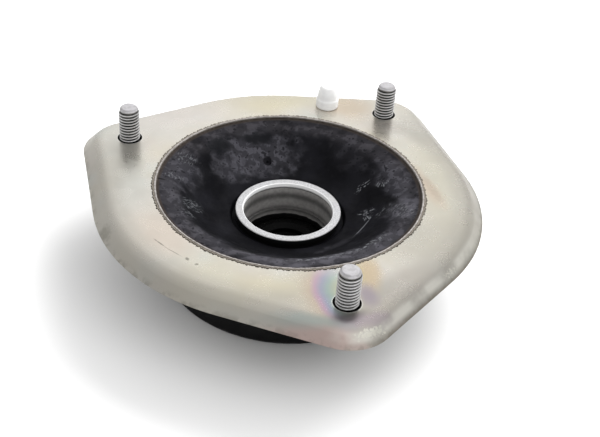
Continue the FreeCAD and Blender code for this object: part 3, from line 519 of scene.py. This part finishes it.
def skin(name, grid, poles=()):
    """Mesh over rows of points that each run round closed: four-sided faces between the rows, and a fan
    to a pole point before the first row and after the last one, or a closed tube if there are no poles."""
    rows, turns = grid.shape[:2]
    here = np.arange(turns)
    after = (here + 1) % turns
    last = rows - 1 if len(poles) else rows
    row = np.arange(last)[:, None] * turns
    above = ((np.arange(last) + 1) % rows)[:, None] * turns
    faces = np.stack([row + here, row + after, above + after, above + here], axis=-1)
    faces = faces.reshape(-1, 4).tolist()
    points = grid.reshape(-1, 3)
    if len(poles):
        points = np.concatenate([points, np.asarray(poles, float)])
        low, high = rows * turns, rows * turns + 1
        top = (rows - 1) * turns
        faces += np.stack([after, here, np.full(turns, low)], axis=-1).tolist()
        faces += np.stack([top + here, top + after, np.full(turns, high)], axis=-1).tolist()
    mesh = bpy.data.meshes.new(name)
    mesh.from_pydata((points / MM_PER_METRE).tolist(), [], faces)
    mesh.shade_smooth()
    piece = bpy.data.objects.new(name, mesh)
    bpy.context.scene.collection.objects.link(piece)
    return piece


def around(radius, height, angle, centre=(0.0, 0.0)):
    """Rows of points: a point at each angle round the upright axis at the centre, its radius and height
    given for each row, or for each point of it."""
    radius, height, angle = np.broadcast_arrays(radius, height, angle)
    return np.stack([centre[0] + radius * np.cos(angle), centre[1] + radius * np.sin(angle), height], axis=-1)


def angles(turns):
    """Equal steps round the circle."""
    return np.linspace(0.0, 2.0 * np.pi, turns, endpoint=False)


def rounded(corners, radius, steps=5):
    """Profile through the corners, each one replaced by a curve that starts and ends a radius away along
    its two sides, or less where a side is short: a quadratic curve with the corner as its middle point."""
    corners = np.asarray(corners, float)
    share = np.linspace(0.0, 1.0, steps)[:, None]
    parts = [corners[:1]]
    for before, corner, after in zip(corners[:-2], corners[1:-1], corners[2:]):
        ends = []
        for side in (before - corner, after - corner):
            length = max(np.hypot(*side), 1e-9)
            ends.append(corner + side / length * min(radius, 0.45 * length))
        parts.append((1 - share) ** 2 * ends[0] + 2 * share * (1 - share) * corner + share**2 * ends[1])
    parts.append(corners[-1:])
    return np.concatenate(parts)


def set_values(piece, name, values):
    """Store one number per point of the mesh under a name that a shader can read."""
    attribute = piece.data.attributes.new(name, "FLOAT", "POINT")
    attribute.data.foreach_set("value", values.astype(np.float32))


def thread_height(height, angle):
    """How far the rolled thread stands out, from 0 in its root to 1 on its crest: a rounded crest once a
    pitch, moved on by one pitch a turn, that grows and fades within a turn at the two ends."""
    phase = (height / THREAD_PITCH - angle / (2 * np.pi)) % 1.0
    crest = np.clip(THREAD_SLOPE * (1.0 - np.abs(2.0 * phase - 1.0)) - THREAD_FLAT, 0.0, 1.0)
    grown = np.clip((height - THREAD_START) / (0.5 * THREAD_PITCH), 0.0, 1.0)
    fading = np.clip((THREAD_END - height) / THREAD_PITCH, 0.0, 1.0)
    return crest * np.minimum(grown, fading)


def make_stud(label, centre):
    angle = angles(STUD_TURNS)
    height = np.linspace(THREAD_START, THREAD_END, THREAD_ROWS)[:, None]
    crest = thread_height(height, angle)
    outer = np.interp(height, [OUTER_TAPERS, THREAD_END], [THREAD_OUTER, POINT_RADIUS])
    root = np.interp(height, [ROOT_TAPERS, THREAD_END], [THREAD_ROOT, POINT_RADIUS])
    thread = around(root + (outer - root) * crest, height, angle, centre)
    foot = rounded(FOOT_PROFILE, FOOT_ROUNDING)[1:]
    point = rounded(POINT_PROFILE, POINT_ROUNDING)[:-1]
    lower = around(foot[:, :1], foot[:, 1:], angle, centre)
    upper = around(point[:, :1], point[:, 1:], angle, centre)
    poles = [(*centre, STUD_FOOT), (*centre, STUD_TOP)]
    piece = skin(label + "_threaded", np.concatenate([lower, thread, upper]), poles)
    # painted light level at each point: 0 is painted shade, as on the neck in the plate's hole, rising to
    # painted highlights on the crests and the point
    foot_light_level = np.where(lower[..., 2] > NECK_BOTTOM, 0.0, HEAD_LIGHT_LEVEL)
    point_light_level = np.interp(height, [ROOT_TAPERS, THREAD_END], [0.0, POINT_LIGHT_LEVEL])
    light_level = np.concatenate([foot_light_level, np.maximum(crest, point_light_level), np.full(upper.shape[:2], POINT_LIGHT_LEVEL)])
    set_values(piece, "crest", np.append(light_level.ravel(), [HEAD_LIGHT_LEVEL, POINT_LIGHT_LEVEL]))
    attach(piece, "mount")
    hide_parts(label)
    return piece


def make_stud_finish():
    material, tree, shader, place = new_finish("stud_steel", paint(200, 201, 201), 0.8, 0.3)
    crest = add(tree, "ShaderNodeAttribute", {}, attribute_name="crest").outputs["Fac"]
    colour = banded(tree, crest, STUD_SHADE_AND_HIGHLIGHT_TONES)
    colour = stain(tree, colour, mottle(tree, place, 1.6), 0.25, paint(150, 148, 144))
    rough = uneven(tree, mottle(tree, place, 1.1, 0.35, 0.65), 0.3, 0.46)
    complete(tree, shader, place, colour, rough, (0.35, 8e-6))
    return material


stud_finish = make_stud_finish()
for stud_name in STUD_NODES:
    make_stud(stud_name, middle_of(stud_name)).data.materials.append(stud_finish)


# Locating pin. Moulded in natural, slightly see-through plastic: a round base on the plate, a tapered
# nose, and a barbed shank that was clipped through a hole in the plate.

PIN_PROFILE = [
    (0.0, -7.7),
    (1.8, -7.7),
    (3.5, -3.2),
    (2.9, -3.2),
    (2.9, 0.0),
    (4.7, 0.0),
    (4.7, 3.6),
    (4.4, 4.2),
    (4.1, 6.6),
    (3.3, 9.4),
    (2.7, 10.0),
    (0.0, 10.0),
]
PIN_TURNS = 64
PIN_ROUNDING = 0.7
PIN_DEPTH = {"Subsurface_Weight": 0.3, "Subsurface_Scale": 0.002, "Subsurface_Radius": (1, 1, 1)}


def make_pin_finish():
    material, tree, shader, place = new_finish("white_plastic", paint(250, 250, 249), 0.0, 0.32, **PIN_DEPTH)
    streaks = mottle(tree, place, 2.4, 0.4, 0.7)
    colour = stain(tree, paint(252, 252, 251), streaks, 0.5, paint(240, 241, 241))
    rough = uneven(tree, mottle(tree, place, 1.0), 0.28, 0.4)
    complete(tree, shader, place, colour, rough, (0.8, 1e-5))
    return material


def make_pin():
    centre = middle_of("locating_pin")
    profile = rounded(PIN_PROFILE, PIN_ROUNDING, 7)[1:-1]
    poles = [(*centre, PIN_PROFILE[0][1]), (*centre, PIN_PROFILE[-1][1])]
    pin = skin("pin_moulding", around(profile[:, :1], profile[:, 1:], angles(PIN_TURNS), centre), poles)
    pin.data.materials.append(make_pin_finish())
    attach(pin, "mount")
    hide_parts("locating_pin")


make_pin()


# Outer shell. Drawn from 2 mm steel, flanged at the top where it is welded under the plate and turned in
# at the foot, and dipped black with the rubber's bonding agent, dusty and rubbed grey along the foot.

RUBBED_FOOT = (-37.9, -36.2)


def make_shell_finish():
    material, tree, shader, place = new_finish(
        "black_shell", paint(12, 12, 13), 0.0, 0.42, Specular_IOR_Level=0.2
    )
    height = polar(tree, place)[1]
    colour = cover(tree, mottle(tree, place, 9.0, 0.45, 0.7), paint(9, 9, 10), paint(20, 20, 20))
    rubbed = times(tree, fade(tree, height, *RUBBED_FOOT), mottle(tree, place, 2.0, 0.42, 0.6))
    colour = cover(tree, rubbed, colour, paint(56, 54, 53))
    rough = uneven(tree, mottle(tree, place, 5.0, 0.35, 0.65), 0.34, 0.55)
    complete(tree, shader, place, colour, rough, (1.2, 1.2e-5), (11.0, 6e-5))
    return material


dress(make_shell_finish(), "outer_shell")


# Rubber element. Black rubber moulded into the shell and round the bearing housing in one shot, with a
# dished top. The mould left a thin torn flash on the plate round the opening, and grey bloom and scuffs;
# the lighter rim and the bloom along the front of the dish are partly painted sheen.

RIM_BLOOM_AND_SHEEN = (39.5, 44.5)  # distances from the strut's axis, mm
OUTER_EDGE = (48.2, 49.0)

# Bloom, partly painted sheen along the front of the dish, and scuffs.
# Each row: centre and half lengths in mm, turn in degrees, and amount.
BLOOM_AND_SHEEN = [
    ((-4, 34, -7), (15, 8, 9), 0, 0.8),
    ((-15, 27, -9), (7, 4, 9), 20, 0.45),
    ((3, 26, -11), (7, 3, 9), 5, 0.2),
    ((-38, 20, -3), (6, 9, 9), -25, 0.6),
    ((-44, 0, -2), (4, 16, 9), 0, 0.42),
    ((-36, -24, -3), (4, 9, 9), 30, 0.5),
    ((-22, -38, -2), (11, 3, 9), -30, 0.7),
    ((0, -43, -2), (20, 4.4, 9), 0, 1.0),
    ((24, -38, -2), (11, 3.4, 9), 34, 0.8),
    ((38, -20, -3), (5, 8, 9), -25, 0.9),
    ((42, -2, -3), (4.6, 14, 9), 4, 0.7),
    ((33, 24, -4), (6, 9, 9), 35, 0.2),
    ((12, -24, -10), (9, 1.6, 6), 22, 0.35),
]
RUBBER_SCUFFS = [
    ((-36.8, 2, -6), (4.2, 3.6, 5), 40, 0.35),
    ((-36.8, 2, -6), (3.6, 3.4, 5), -50, 0.3),
    ((-40, -6, -4), (3.0, 2.0, 5), -20, 0.4),
    ((31.7, 6.1, -8), (3.6, 1.4, 5), 10, 0.8),
    ((38.5, 1.5, -5), (1.8, 2.6, 5), 60, 0.8),
    ((28.8, -8.4, -9), (3.2, 1.6, 5), -30, 0.9),
    ((28, -11, -9), (3.6, 1.5, 5), 75, 0.8),
    ((32.9, -14, -6), (3.6, 1.3, 5), 20, 0.6),
    ((0, -41, -3), (13, 1.7, 5), 2, 0.8),
    ((20, -37, -3), (8, 2, 5), 32, 0.65),
    ((38, -21, -3), (4, 6, 9), 25, 0.4),
    ((-34, 28, -3), (3, 5, 9), 60, 0.35),
    ((-41, 17, -3), (2, 4, 9), 75, 0.4),
]

# Each row as in the tables of marks on the plate.
DARK_SPOTS = [
    ((-2, 39.7, -3), (6, 2.4, 5), -4, (16, 17, 20), 0.85),
    ((-18.7, 36.5, -3), (5, 3.6, 5), 20, (16, 17, 20), 0.85),
    ((-36.5, 3, -6), (4.4, 3.6, 5), 30, (16, 17, 20), 0.85),
]
HAIRLINE = [((24, -17.3, -9.6), (5.6, 0.24, 5), 40, (120, 122, 126), 0.6)]
MOULD_SEAM = [((-46.5, 14.2, -1), (2.2, 0.35, 5), -17, (12, 12, 12), 1.0)]

# The flash across: radius and height in mm, its share of the torn edge's wandering, and the place of its
# colour from the outer edge, 0, to the inner one, 1.
FLASH_TURNS = 2160
FLASH_SHAPE = np.array(
    [
        (49.36, -1.2, 0.0, 1.0),
        (51.30, 0.006, 1.0, 0.0),
        (51.22, 0.12, 1.0, 0.08),
        (51.00, 0.18, 0.6, 0.2),
        (50.72, 0.16, 0.25, 0.36),
        (50.50, 0.12, 0.1, 0.5),
        (50.36, 0.30, 0.08, 0.6),
        (50.08, 0.36, 0.05, 0.7),
        (49.84, 0.22, 0.03, 0.8),
        (49.66, -0.36, 0.0, 0.9),
        (49.36, -0.62, 0.0, 1.0),
    ]
)
FLASH_TONES = [
    (0.0, (44, 40, 34)),
    (0.16, (52, 47, 41)),
    (0.26, (132, 125, 114)),
    (0.44, (112, 105, 96)),
    (0.52, (70, 64, 57)),
    (0.6, (168, 163, 160)),
    (0.78, (158, 153, 150)),
    (0.88, (50, 42, 36)),
    (1.0, (40, 34, 29)),
]

# Waves round the flash. Each: how often it runs round, and its height in mm.
TORN_WAVES = [(7, 0.12), (19, 0.1), (43, 0.1), (97, 0.12), (181, 0.16), (307, 0.12), (433, 0.08)]
LIFT_WAVES = [(11, 0.03), (37, 0.03), (83, 0.03), (151, 0.02)]


def make_rubber_finish():
    material, tree, shader, place = new_finish(
        "rubber", paint(14, 14, 17), 0.0, 0.6, Specular_IOR_Level=0.06
    )
    radius = polar(tree, place)[0]
    colour = cover(tree, mottle(tree, place, 13.0, 0.4, 0.65), paint(10, 10, 13), paint(20, 20, 24))
    crisp = mottle(tree, place, 3.4, 0.47, 0.56)
    # lighter rim: bloom and painted sheen
    rim_bloom_and_sheen = times(tree, ramp(tree, radius, *RIM_BLOOM_AND_SHEEN), uneven(tree, mottle(tree, place, 5.0, 0.3, 0.62), 0.3, 1.0))
    colour = stain(tree, colour, times(tree, rim_bloom_and_sheen, uneven(tree, crisp, 0.5, 1.0)), 0.7, paint(60, 58, 62))
    broken = uneven(tree, crisp, 0.45, 1.0)
    for centre, reach, turn, amount in BLOOM_AND_SHEEN:
        within = spot(tree, place, centre, reach, turn, softness=0.6, raggedness=0.9, grain=4.0)["Mask"]
        colour = stain(tree, colour, times(tree, within, broken), amount, paint(72, 71, 77))
    colour = stain(tree, colour, mottle(tree, place, 1.7, 0.6, 0.66), 0.8, paint(15, 15, 18))
    colour = marks(tree, place, colour, DARK_SPOTS, softness=0.4, raggedness=0.9, grain=2.0)
    for centre, reach, turn, amount in RUBBER_SCUFFS:
        within = spot(tree, place, centre, reach, turn, softness=0.4, raggedness=0.6, grain=1.6)["Mask"]
        scuff = times(tree, within, scratches(tree, place, turn, length=1.8, width=0.55, level=0.55))
        colour = stain(tree, colour, scuff, amount, paint(116, 118, 122))
    colour = marks(tree, place, colour, HAIRLINE, softness=0.4, raggedness=0.5, grain=1.4)
    colour = stain(tree, colour, ramp(tree, radius, *OUTER_EDGE), 0.8, paint(52, 46, 42))
    colour = marks(tree, place, colour, MOULD_SEAM, softness=0.4, raggedness=0.3, grain=1.0)
    rough = uneven(tree, mottle(tree, place, 6.0, 0.35, 0.65), 0.52, 0.7)
    complete(tree, shader, place, colour, rough, (0.7, 1.5e-5), (5.0, 1.1e-4))
    return material


def make_flash_finish():
    material, tree, shader, place = new_finish(
        "rubber_flash", paint(110, 104, 96), 0.0, 0.6, Specular_IOR_Level=0.3
    )
    across = add(tree, "ShaderNodeAttribute", {}, attribute_name="across").outputs["Fac"]
    colour = banded(tree, across, FLASH_TONES)
    colour = stain(tree, colour, mottle(tree, place, 1.3, 0.35, 0.65), 0.5, paint(84, 78, 70))
    tree.links.new(colour, shader.inputs["Base Color"])
    relief(tree, shader, place, (0.4, 6e-5))
    return material


def wander(angle, waves, seed):
    """Sum of sine waves round the circle, each a whole number of times, with phases from a seed."""
    phases = np.random.default_rng(seed).uniform(0.0, 2.0 * np.pi, len(waves))
    return sum(size * np.sin(count * angle + phase) for (count, size), phase in zip(waves, phases))


def make_flash():
    """Thin torn skin on the plate round the opening: its outer edge wanders in and out, and a narrow bead
    stands where the mould closed on the edge of the plate."""
    angle = angles(FLASH_TURNS)
    radius, height, share, across = FLASH_SHAPE.T[..., None]
    radius = radius + share * wander(angle, TORN_WAVES, 4)
    height = height + np.where(height > 0.05, wander(angle, LIFT_WAVES, 9), 0.0)
    flash = skin("rubber_flash_ring", around(radius, height, angle)[::-1])
    set_values(flash, "across", np.repeat(across[::-1], FLASH_TURNS))
    flash.data.materials.append(make_flash_finish())
    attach(flash, "mount")


dress(make_rubber_finish(), "rubber_element")
make_flash()


# Top ring and upper sleeve. A bright steel ring, faced flat, on the upper end of the steel tube that
# the nut of the strut's rod is reached through. The tube's wall is duller, drawn steel.

RING_METALLIC = 0.6
RING_RIM = (19.4, 19.7)  # distances from the strut's axis, mm
RING_LIT_WALL = (17.2, 17.5)
RING_BLACK_HEIGHTS = (-11.35, -11.05)  # heights, mm
RING_FOOT = (-12.6, -12.2)
SLEEVE_METALLIC = 0.5
# painted shade: dark rings along the tube, and the tube darker lower down
PAINTED_SHADE_RINGS = [(-13.0, 0.4, 0.85), (-16.8, 2.4, 0.62), (-22.6, 2.0, 0.68)]  # height, reach and amount
SLEEVE_DEPTH_SHADE = (-16.0, -13.0)
# painted shade: black on the lowest part of the inside, where the bore is dark
BORE_SHADE_TOP = (-24.6, -24.1)
BLACK_FOOT = (-28.4, -27.9)
OUTSIDE = (19.2, 19.4)
OUTSIDE_FOOT = (-24.3, -23.9)


def make_bright_finish(name, metallic, tones, rough_range, grain, bump):
    """Steel: fine speckle between two tones and wider blotches of a third, with a roughness that follows
    the speckle."""
    material, tree, shader, place = new_finish(name, tones[0], metallic, rough_range[0])
    speckle = mottle(tree, place, grain, 0.4, 0.62)
    colour = cover(tree, speckle, tones[0], tones[1])
    colour = stain(tree, colour, mottle(tree, place, 6.0, 0.45, 0.65), 0.5, tones[2])
    complete(tree, shader, place, colour, uneven(tree, speckle, *rough_range), (grain, bump))
    return material, tree, shader, place, colour


def make_ring_finish():
    """The bright steel, black on the ring's rim below its top face, and a pale, matt wall inside, painted
    light that makes it the brightest part of the ring."""
    tones = paint(207, 207, 209), paint(178, 178, 180), paint(194, 193, 192)
    material, tree, shader, place, colour = make_bright_finish(
        "bright_steel", RING_METALLIC, tones, (0.32, 0.5), 0.5, 1.6e-5
    )
    radius, height, _ = polar(tree, place)
    # black on the ring's rim below its top face
    blackened = times(tree, fade(tree, height, *RING_BLACK_HEIGHTS), ramp(tree, radius, *RING_RIM))
    colour = cover(tree, blackened, colour, paint(12, 12, 13))
    # painted light: the inner wall pale and matt
    lit_wall = times(tree, fade(tree, radius, *RING_LIT_WALL), ramp(tree, height, *RING_FOOT))
    tree.links.new(cover(tree, lit_wall, colour, paint(250, 250, 250)), shader.inputs["Base Color"])
    steely = reckon(tree, "SUBTRACT", 1.0, reckon(tree, "MAXIMUM", blackened, lit_wall))
    tree.links.new(times(tree, steely, RING_METALLIC), shader.inputs["Metallic"])
    return material


def make_sleeve_finish():
    """Drawn steel with painted shade: darker lower down, soft dark rings along the tube, and black on the
    lowest part of its inside; black also on its outside."""
    tones = paint(204, 202, 199), paint(186, 183, 181), paint(172, 169, 167)
    material, tree, shader, place, colour = make_bright_finish(
        "sleeve_steel", SLEEVE_METALLIC, tones, (0.34, 0.46), 1.4, 8e-6
    )
    radius, height, _ = polar(tree, place)
    # painted shade: the tube darker lower down, and dark rings along it
    colour = cover(tree, fade(tree, height, *SLEEVE_DEPTH_SHADE, 0.4), colour, paint(112, 110, 110))
    for middle, reach, amount in PAINTED_SHADE_RINGS:
        away = reckon(tree, "ABSOLUTE", reckon(tree, "SUBTRACT", height, middle))
        colour = cover(tree, fade(tree, away, 0.0, reach, amount), colour, paint(36, 36, 36))
    # painted shade: black on the lowest part of the inside
    ragged = reckon(tree, "ADD", height, times(tree, mottle(tree, place, 5.0, 0.3, 0.7), 0.6))
    # black on the outside of the tube
    blackened = times(tree, ramp(tree, radius, *OUTSIDE), ramp(tree, height, *OUTSIDE_FOOT))
    black = reckon(tree, "MAXIMUM", fade(tree, ragged, *BORE_SHADE_TOP), blackened)
    black = times(tree, black, ramp(tree, height, *BLACK_FOOT))
    tree.links.new(cover(tree, black, colour, paint(5, 5, 5)), shader.inputs["Base Color"])
    steely = reckon(tree, "SUBTRACT", 1.0, black)
    tree.links.new(times(tree, steely, SLEEVE_METALLIC), shader.inputs["Metallic"])
    return material


dress(make_ring_finish(), "top_ring")
dress(make_sleeve_finish(), "upper_sleeve", "bearing_housing")


# Ball bearing. Ground bearing steel races and polished balls, spaced by a cage that is moulded in
# natural nylon. It sits in the housing under the sleeve and carries the end of the strut's rod.

RACE_BORE_SHADE = (-31.0, -30.0)
BALL_COUNT = 12


def make_race_finish():
    """Ground steel, painted black as shade on everything that the bore shows."""
    tones = paint(124, 124, 126), paint(112, 112, 114), paint(104, 104, 104)
    material, tree, shader, place, colour = make_bright_finish(
        "bearing_steel", 1.0, tones, (0.2, 0.3), 0.8, 2e-6
    )
    # painted shade: black on all that the bore shows
    bore_shaded = ramp(tree, polar(tree, place)[1], *RACE_BORE_SHADE)
    tree.links.new(cover(tree, bore_shaded, colour, paint(8, 8, 8)), shader.inputs["Base Color"])
    return material


def make_plastic_finish(name, tones, roughness, grain, bump, specular=0.5):
    """Moulded plastic or rubber: soft blotches between two tones and a fine skin."""
    material, tree, shader, place = new_finish(name, tones[0], 0.0, roughness, Specular_IOR_Level=specular)
    blotches = mottle(tree, place, grain, 0.4, 0.65)
    rough = uneven(tree, blotches, roughness, roughness + 0.1)
    complete(tree, shader, place, cover(tree, blotches, *tones), rough, (0.6, bump))
    return material


dress(make_race_finish(), "bearing_outer_race", "bearing_inner_race")
ball_tones = paint(214, 215, 217), paint(206, 207, 210), paint(200, 200, 202)
ball_finish = make_bright_finish("ball_steel", 1.0, ball_tones, (0.06, 0.12), 0.8, 4e-7)[0]
for ball_number in range(1, BALL_COUNT + 1):
    dress(ball_finish, "ball_%d" % ball_number)
cage_tones = paint(206, 196, 168), paint(190, 178, 146)
dress(make_plastic_finish("cage_plastic", cage_tones, 0.4, 2.5, 8e-6), "ball_cage")


# Seals. Black rubber lips that keep grease in the bearing. The upper one is the glossy, greasy surface at
# the bottom of the bore, and the lower one snaps into the outer race.

seal_tones = paint(3, 3, 3), paint(6, 6, 6)
dress(make_plastic_finish("seal_rubber", seal_tones, 0.24, 4.0, 1.2e-5, 0.06), "upper_seal", "lower_seal")


# Studio. White paper that keeps the shadow, a white surround, a large soft lamp from the rear right and
# weaker ones from the left and the front, and the camera where the photographer's was.

FLOOR_REACH = 3.0  # metres, like all lengths of the studio
PAPER_TONE = 0.82
PAINTED_SHADOW_TONE = 0.5
PAINTED_SHADOW_CENTRE = (0.012, -0.024, 0.0)
PAINTED_SHADOW_REACH = (0.03, 0.07)
GLOW_CENTRE = (-0.015, 0.0, 0.0)
GLOW_REACH = (0.05, 0.19)
GLOW = 0.45
REAR_GLOW = ((0.2, 0.92, -0.34), -0.35, 0.75, 0.0, 0.55)  # direction, range of the cosine, brightness
FRONT_GLOW = ((0.26, -0.4, 0.88), 0.6, 0.98, 0.38, 0.74)
LAMPS = {  # place, size and power in watts
    "key_lamp": ((1.1, 0.8, 1.1), 1.4, 42.0),
    "left_lamp": ((-0.9, 0.1, 0.8), 1.0, 2.0),
    "front_lamp": ((0.6, -1.0, 0.8), 0.9, 6.0),
}
CAMERA_PLACE = (-0.0994, -0.3080, 0.2182)
CAMERA_DIRECTION = (0.2605, 0.7682, -0.5848)
CAMERA_ROLL = 4.55  # degrees
CAMERA_LENS = 62.47  # mm, on a sensor 36 mm wide
SENSOR_WIDTH = 36.0


def mix_values(tree, share, first, second):
    """The first value where the share is 0, and the second where it is 1."""
    return add(tree, "ShaderNodeMix", {0: share, 2: first, 3: second}, data_type="FLOAT").outputs[0]


def make_floor():
    """Large flat sheet of white paper under the foot of the shell. A painted shadow darkens it right under
    the shell, it is dimmer in mirrors, most of all at the left, and it glows away from the part, where the
    photo's paper burns out to white."""
    low = solid_box[0][2]
    far = FLOOR_REACH
    mesh = bpy.data.meshes.new("floor")
    corners = [(-far, -far, low), (far, -far, low), (far, far, low), (-far, far, low)]
    mesh.from_pydata(corners, [], [(0, 1, 2, 3)])
    floor = bpy.data.objects.new("floor", mesh)
    bpy.context.scene.collection.objects.link(floor)
    material = bpy.data.materials.new("floor_paper")
    material.use_nodes = True
    tree = material.node_tree
    tree.nodes.clear()
    rays = add(tree, "ShaderNodeLightPath", {}).outputs
    place = add(tree, "ShaderNodeTexCoord", {}).outputs["Object"]
    seen = reckon(tree, "MAXIMUM", rays["Is Camera Ray"], rays["Is Transmission Ray"])
    glow = times(tree, seen, ramp(tree, distance(tree, place, GLOW_CENTRE), *GLOW_REACH, 0.0, GLOW))
    sideways = add(tree, "ShaderNodeSeparateXYZ", {0: place}).outputs["X"]
    # painted shadow: the paper darker right under the shell
    from_painted_shadow = distance(tree, place, PAINTED_SHADOW_CENTRE)
    shadowed_tone = ramp(tree, from_painted_shadow, *PAINTED_SHADOW_REACH, PAINTED_SHADOW_TONE, PAPER_TONE)
    tone = mix_values(tree, rays["Is Glossy Ray"], shadowed_tone, ramp(tree, sideways, -0.5, 0.2, 0.42, 0.5))
    paper = add(tree, "ShaderNodeBsdfDiffuse", {"Color": tone}).outputs[0]
    burnt = add(tree, "ShaderNodeEmission", {"Color": (1, 1, 1, 1), "Strength": glow}).outputs[0]
    both = add(tree, "ShaderNodeAddShader", {0: paper, 1: burnt}).outputs[0]
    add(tree, "ShaderNodeOutputMaterial", {"Surface": both})
    mesh.materials.append(material)


def glow_towards(tree, direction, towards, low, high, at_low, at_high):
    """Brightness that grows as the direction comes nearer to another one."""
    inputs = {0: direction, 1: towards}
    near = add(tree, "ShaderNodeVectorMath", inputs, operation="DOT_PRODUCT").outputs["Value"]
    return ramp(tree, near, low, high, at_low, at_high)


def make_surround():
    """White where the camera sees it. In mirrors it is brighter low behind the part, except at the far left
    and right, and high above its front. As a source of light it is brighter above than at the horizon."""
    world = bpy.data.worlds.new("surround")
    world.use_nodes = True
    tree = world.node_tree
    tree.nodes.clear()
    rays = add(tree, "ShaderNodeLightPath", {}).outputs
    direction = add(tree, "ShaderNodeTexCoord", {}).outputs["Generated"]
    split = add(tree, "ShaderNodeSeparateXYZ", {0: direction}).outputs
    rear = glow_towards(tree, direction, *REAR_GLOW)
    rear = times(tree, rear, ramp(tree, split["X"], -0.4, 0.15, 0.42, 1.0))
    rear = times(tree, rear, ramp(tree, split["X"], 0.4, 0.7, 1.0, 0.6))
    front = glow_towards(tree, direction, *FRONT_GLOW)
    above = ramp(tree, split["Z"], 0.3, 0.85, 0.0, 0.2)
    mirrored = reckon(tree, "ADD", front, reckon(tree, "ADD", rear, above))
    spread = ramp(tree, split["Z"], 0.0, 0.6, 0.36, 0.86)
    strength = mix_values(tree, rays["Is Glossy Ray"], spread, mirrored)
    strength = mix_values(tree, rays["Is Camera Ray"], strength, 1.0)
    light = add(tree, "ShaderNodeBackground", {"Color": (1, 1, 1, 1), "Strength": strength}).outputs[0]
    add(tree, "ShaderNodeOutputWorld", {"Surface": light})
    bpy.context.scene.world = world


def add_lamp(name, place, size, power):
    """Square soft lamp that faces the object and isn't mirrored in it."""
    lamp = bpy.data.lights.new(name, "AREA")
    lamp.size = size
    lamp.energy = power
    holder = bpy.data.objects.new(name, lamp)
    holder.location = place
    holder.rotation_euler = (-Vector(place)).to_track_quat("-Z", "Y").to_euler()
    holder.visible_glossy = False
    bpy.context.scene.collection.objects.link(holder)


def place_camera():
    """Camera from its place, the direction it looks in and its roll about that direction."""
    looking = Vector(CAMERA_DIRECTION).normalized()
    level = looking.cross(Vector((0, 0, 1))).normalized()
    upright = level.cross(looking)
    roll = math.radians(CAMERA_ROLL)
    right = level * math.cos(roll) + upright * math.sin(roll)
    up = right.cross(looking)
    camera = bpy.data.cameras.new("camera")
    camera.sensor_width = SENSOR_WIDTH
    camera.lens = CAMERA_LENS
    camera.clip_start = 0.01
    holder = bpy.data.objects.new("camera", camera)
    turn = Matrix((right, up, -looking)).transposed().to_4x4()
    holder.matrix_world = Matrix.Translation(CAMERA_PLACE) @ turn
    bpy.context.scene.collection.objects.link(holder)
    bpy.context.scene.camera = holder


make_floor()
make_surround()
for lamp_name, lamp_settings in LAMPS.items():
    add_lamp(lamp_name, *lamp_settings)
place_camera()
bpy.context.scene.view_settings.view_transform = "Standard"
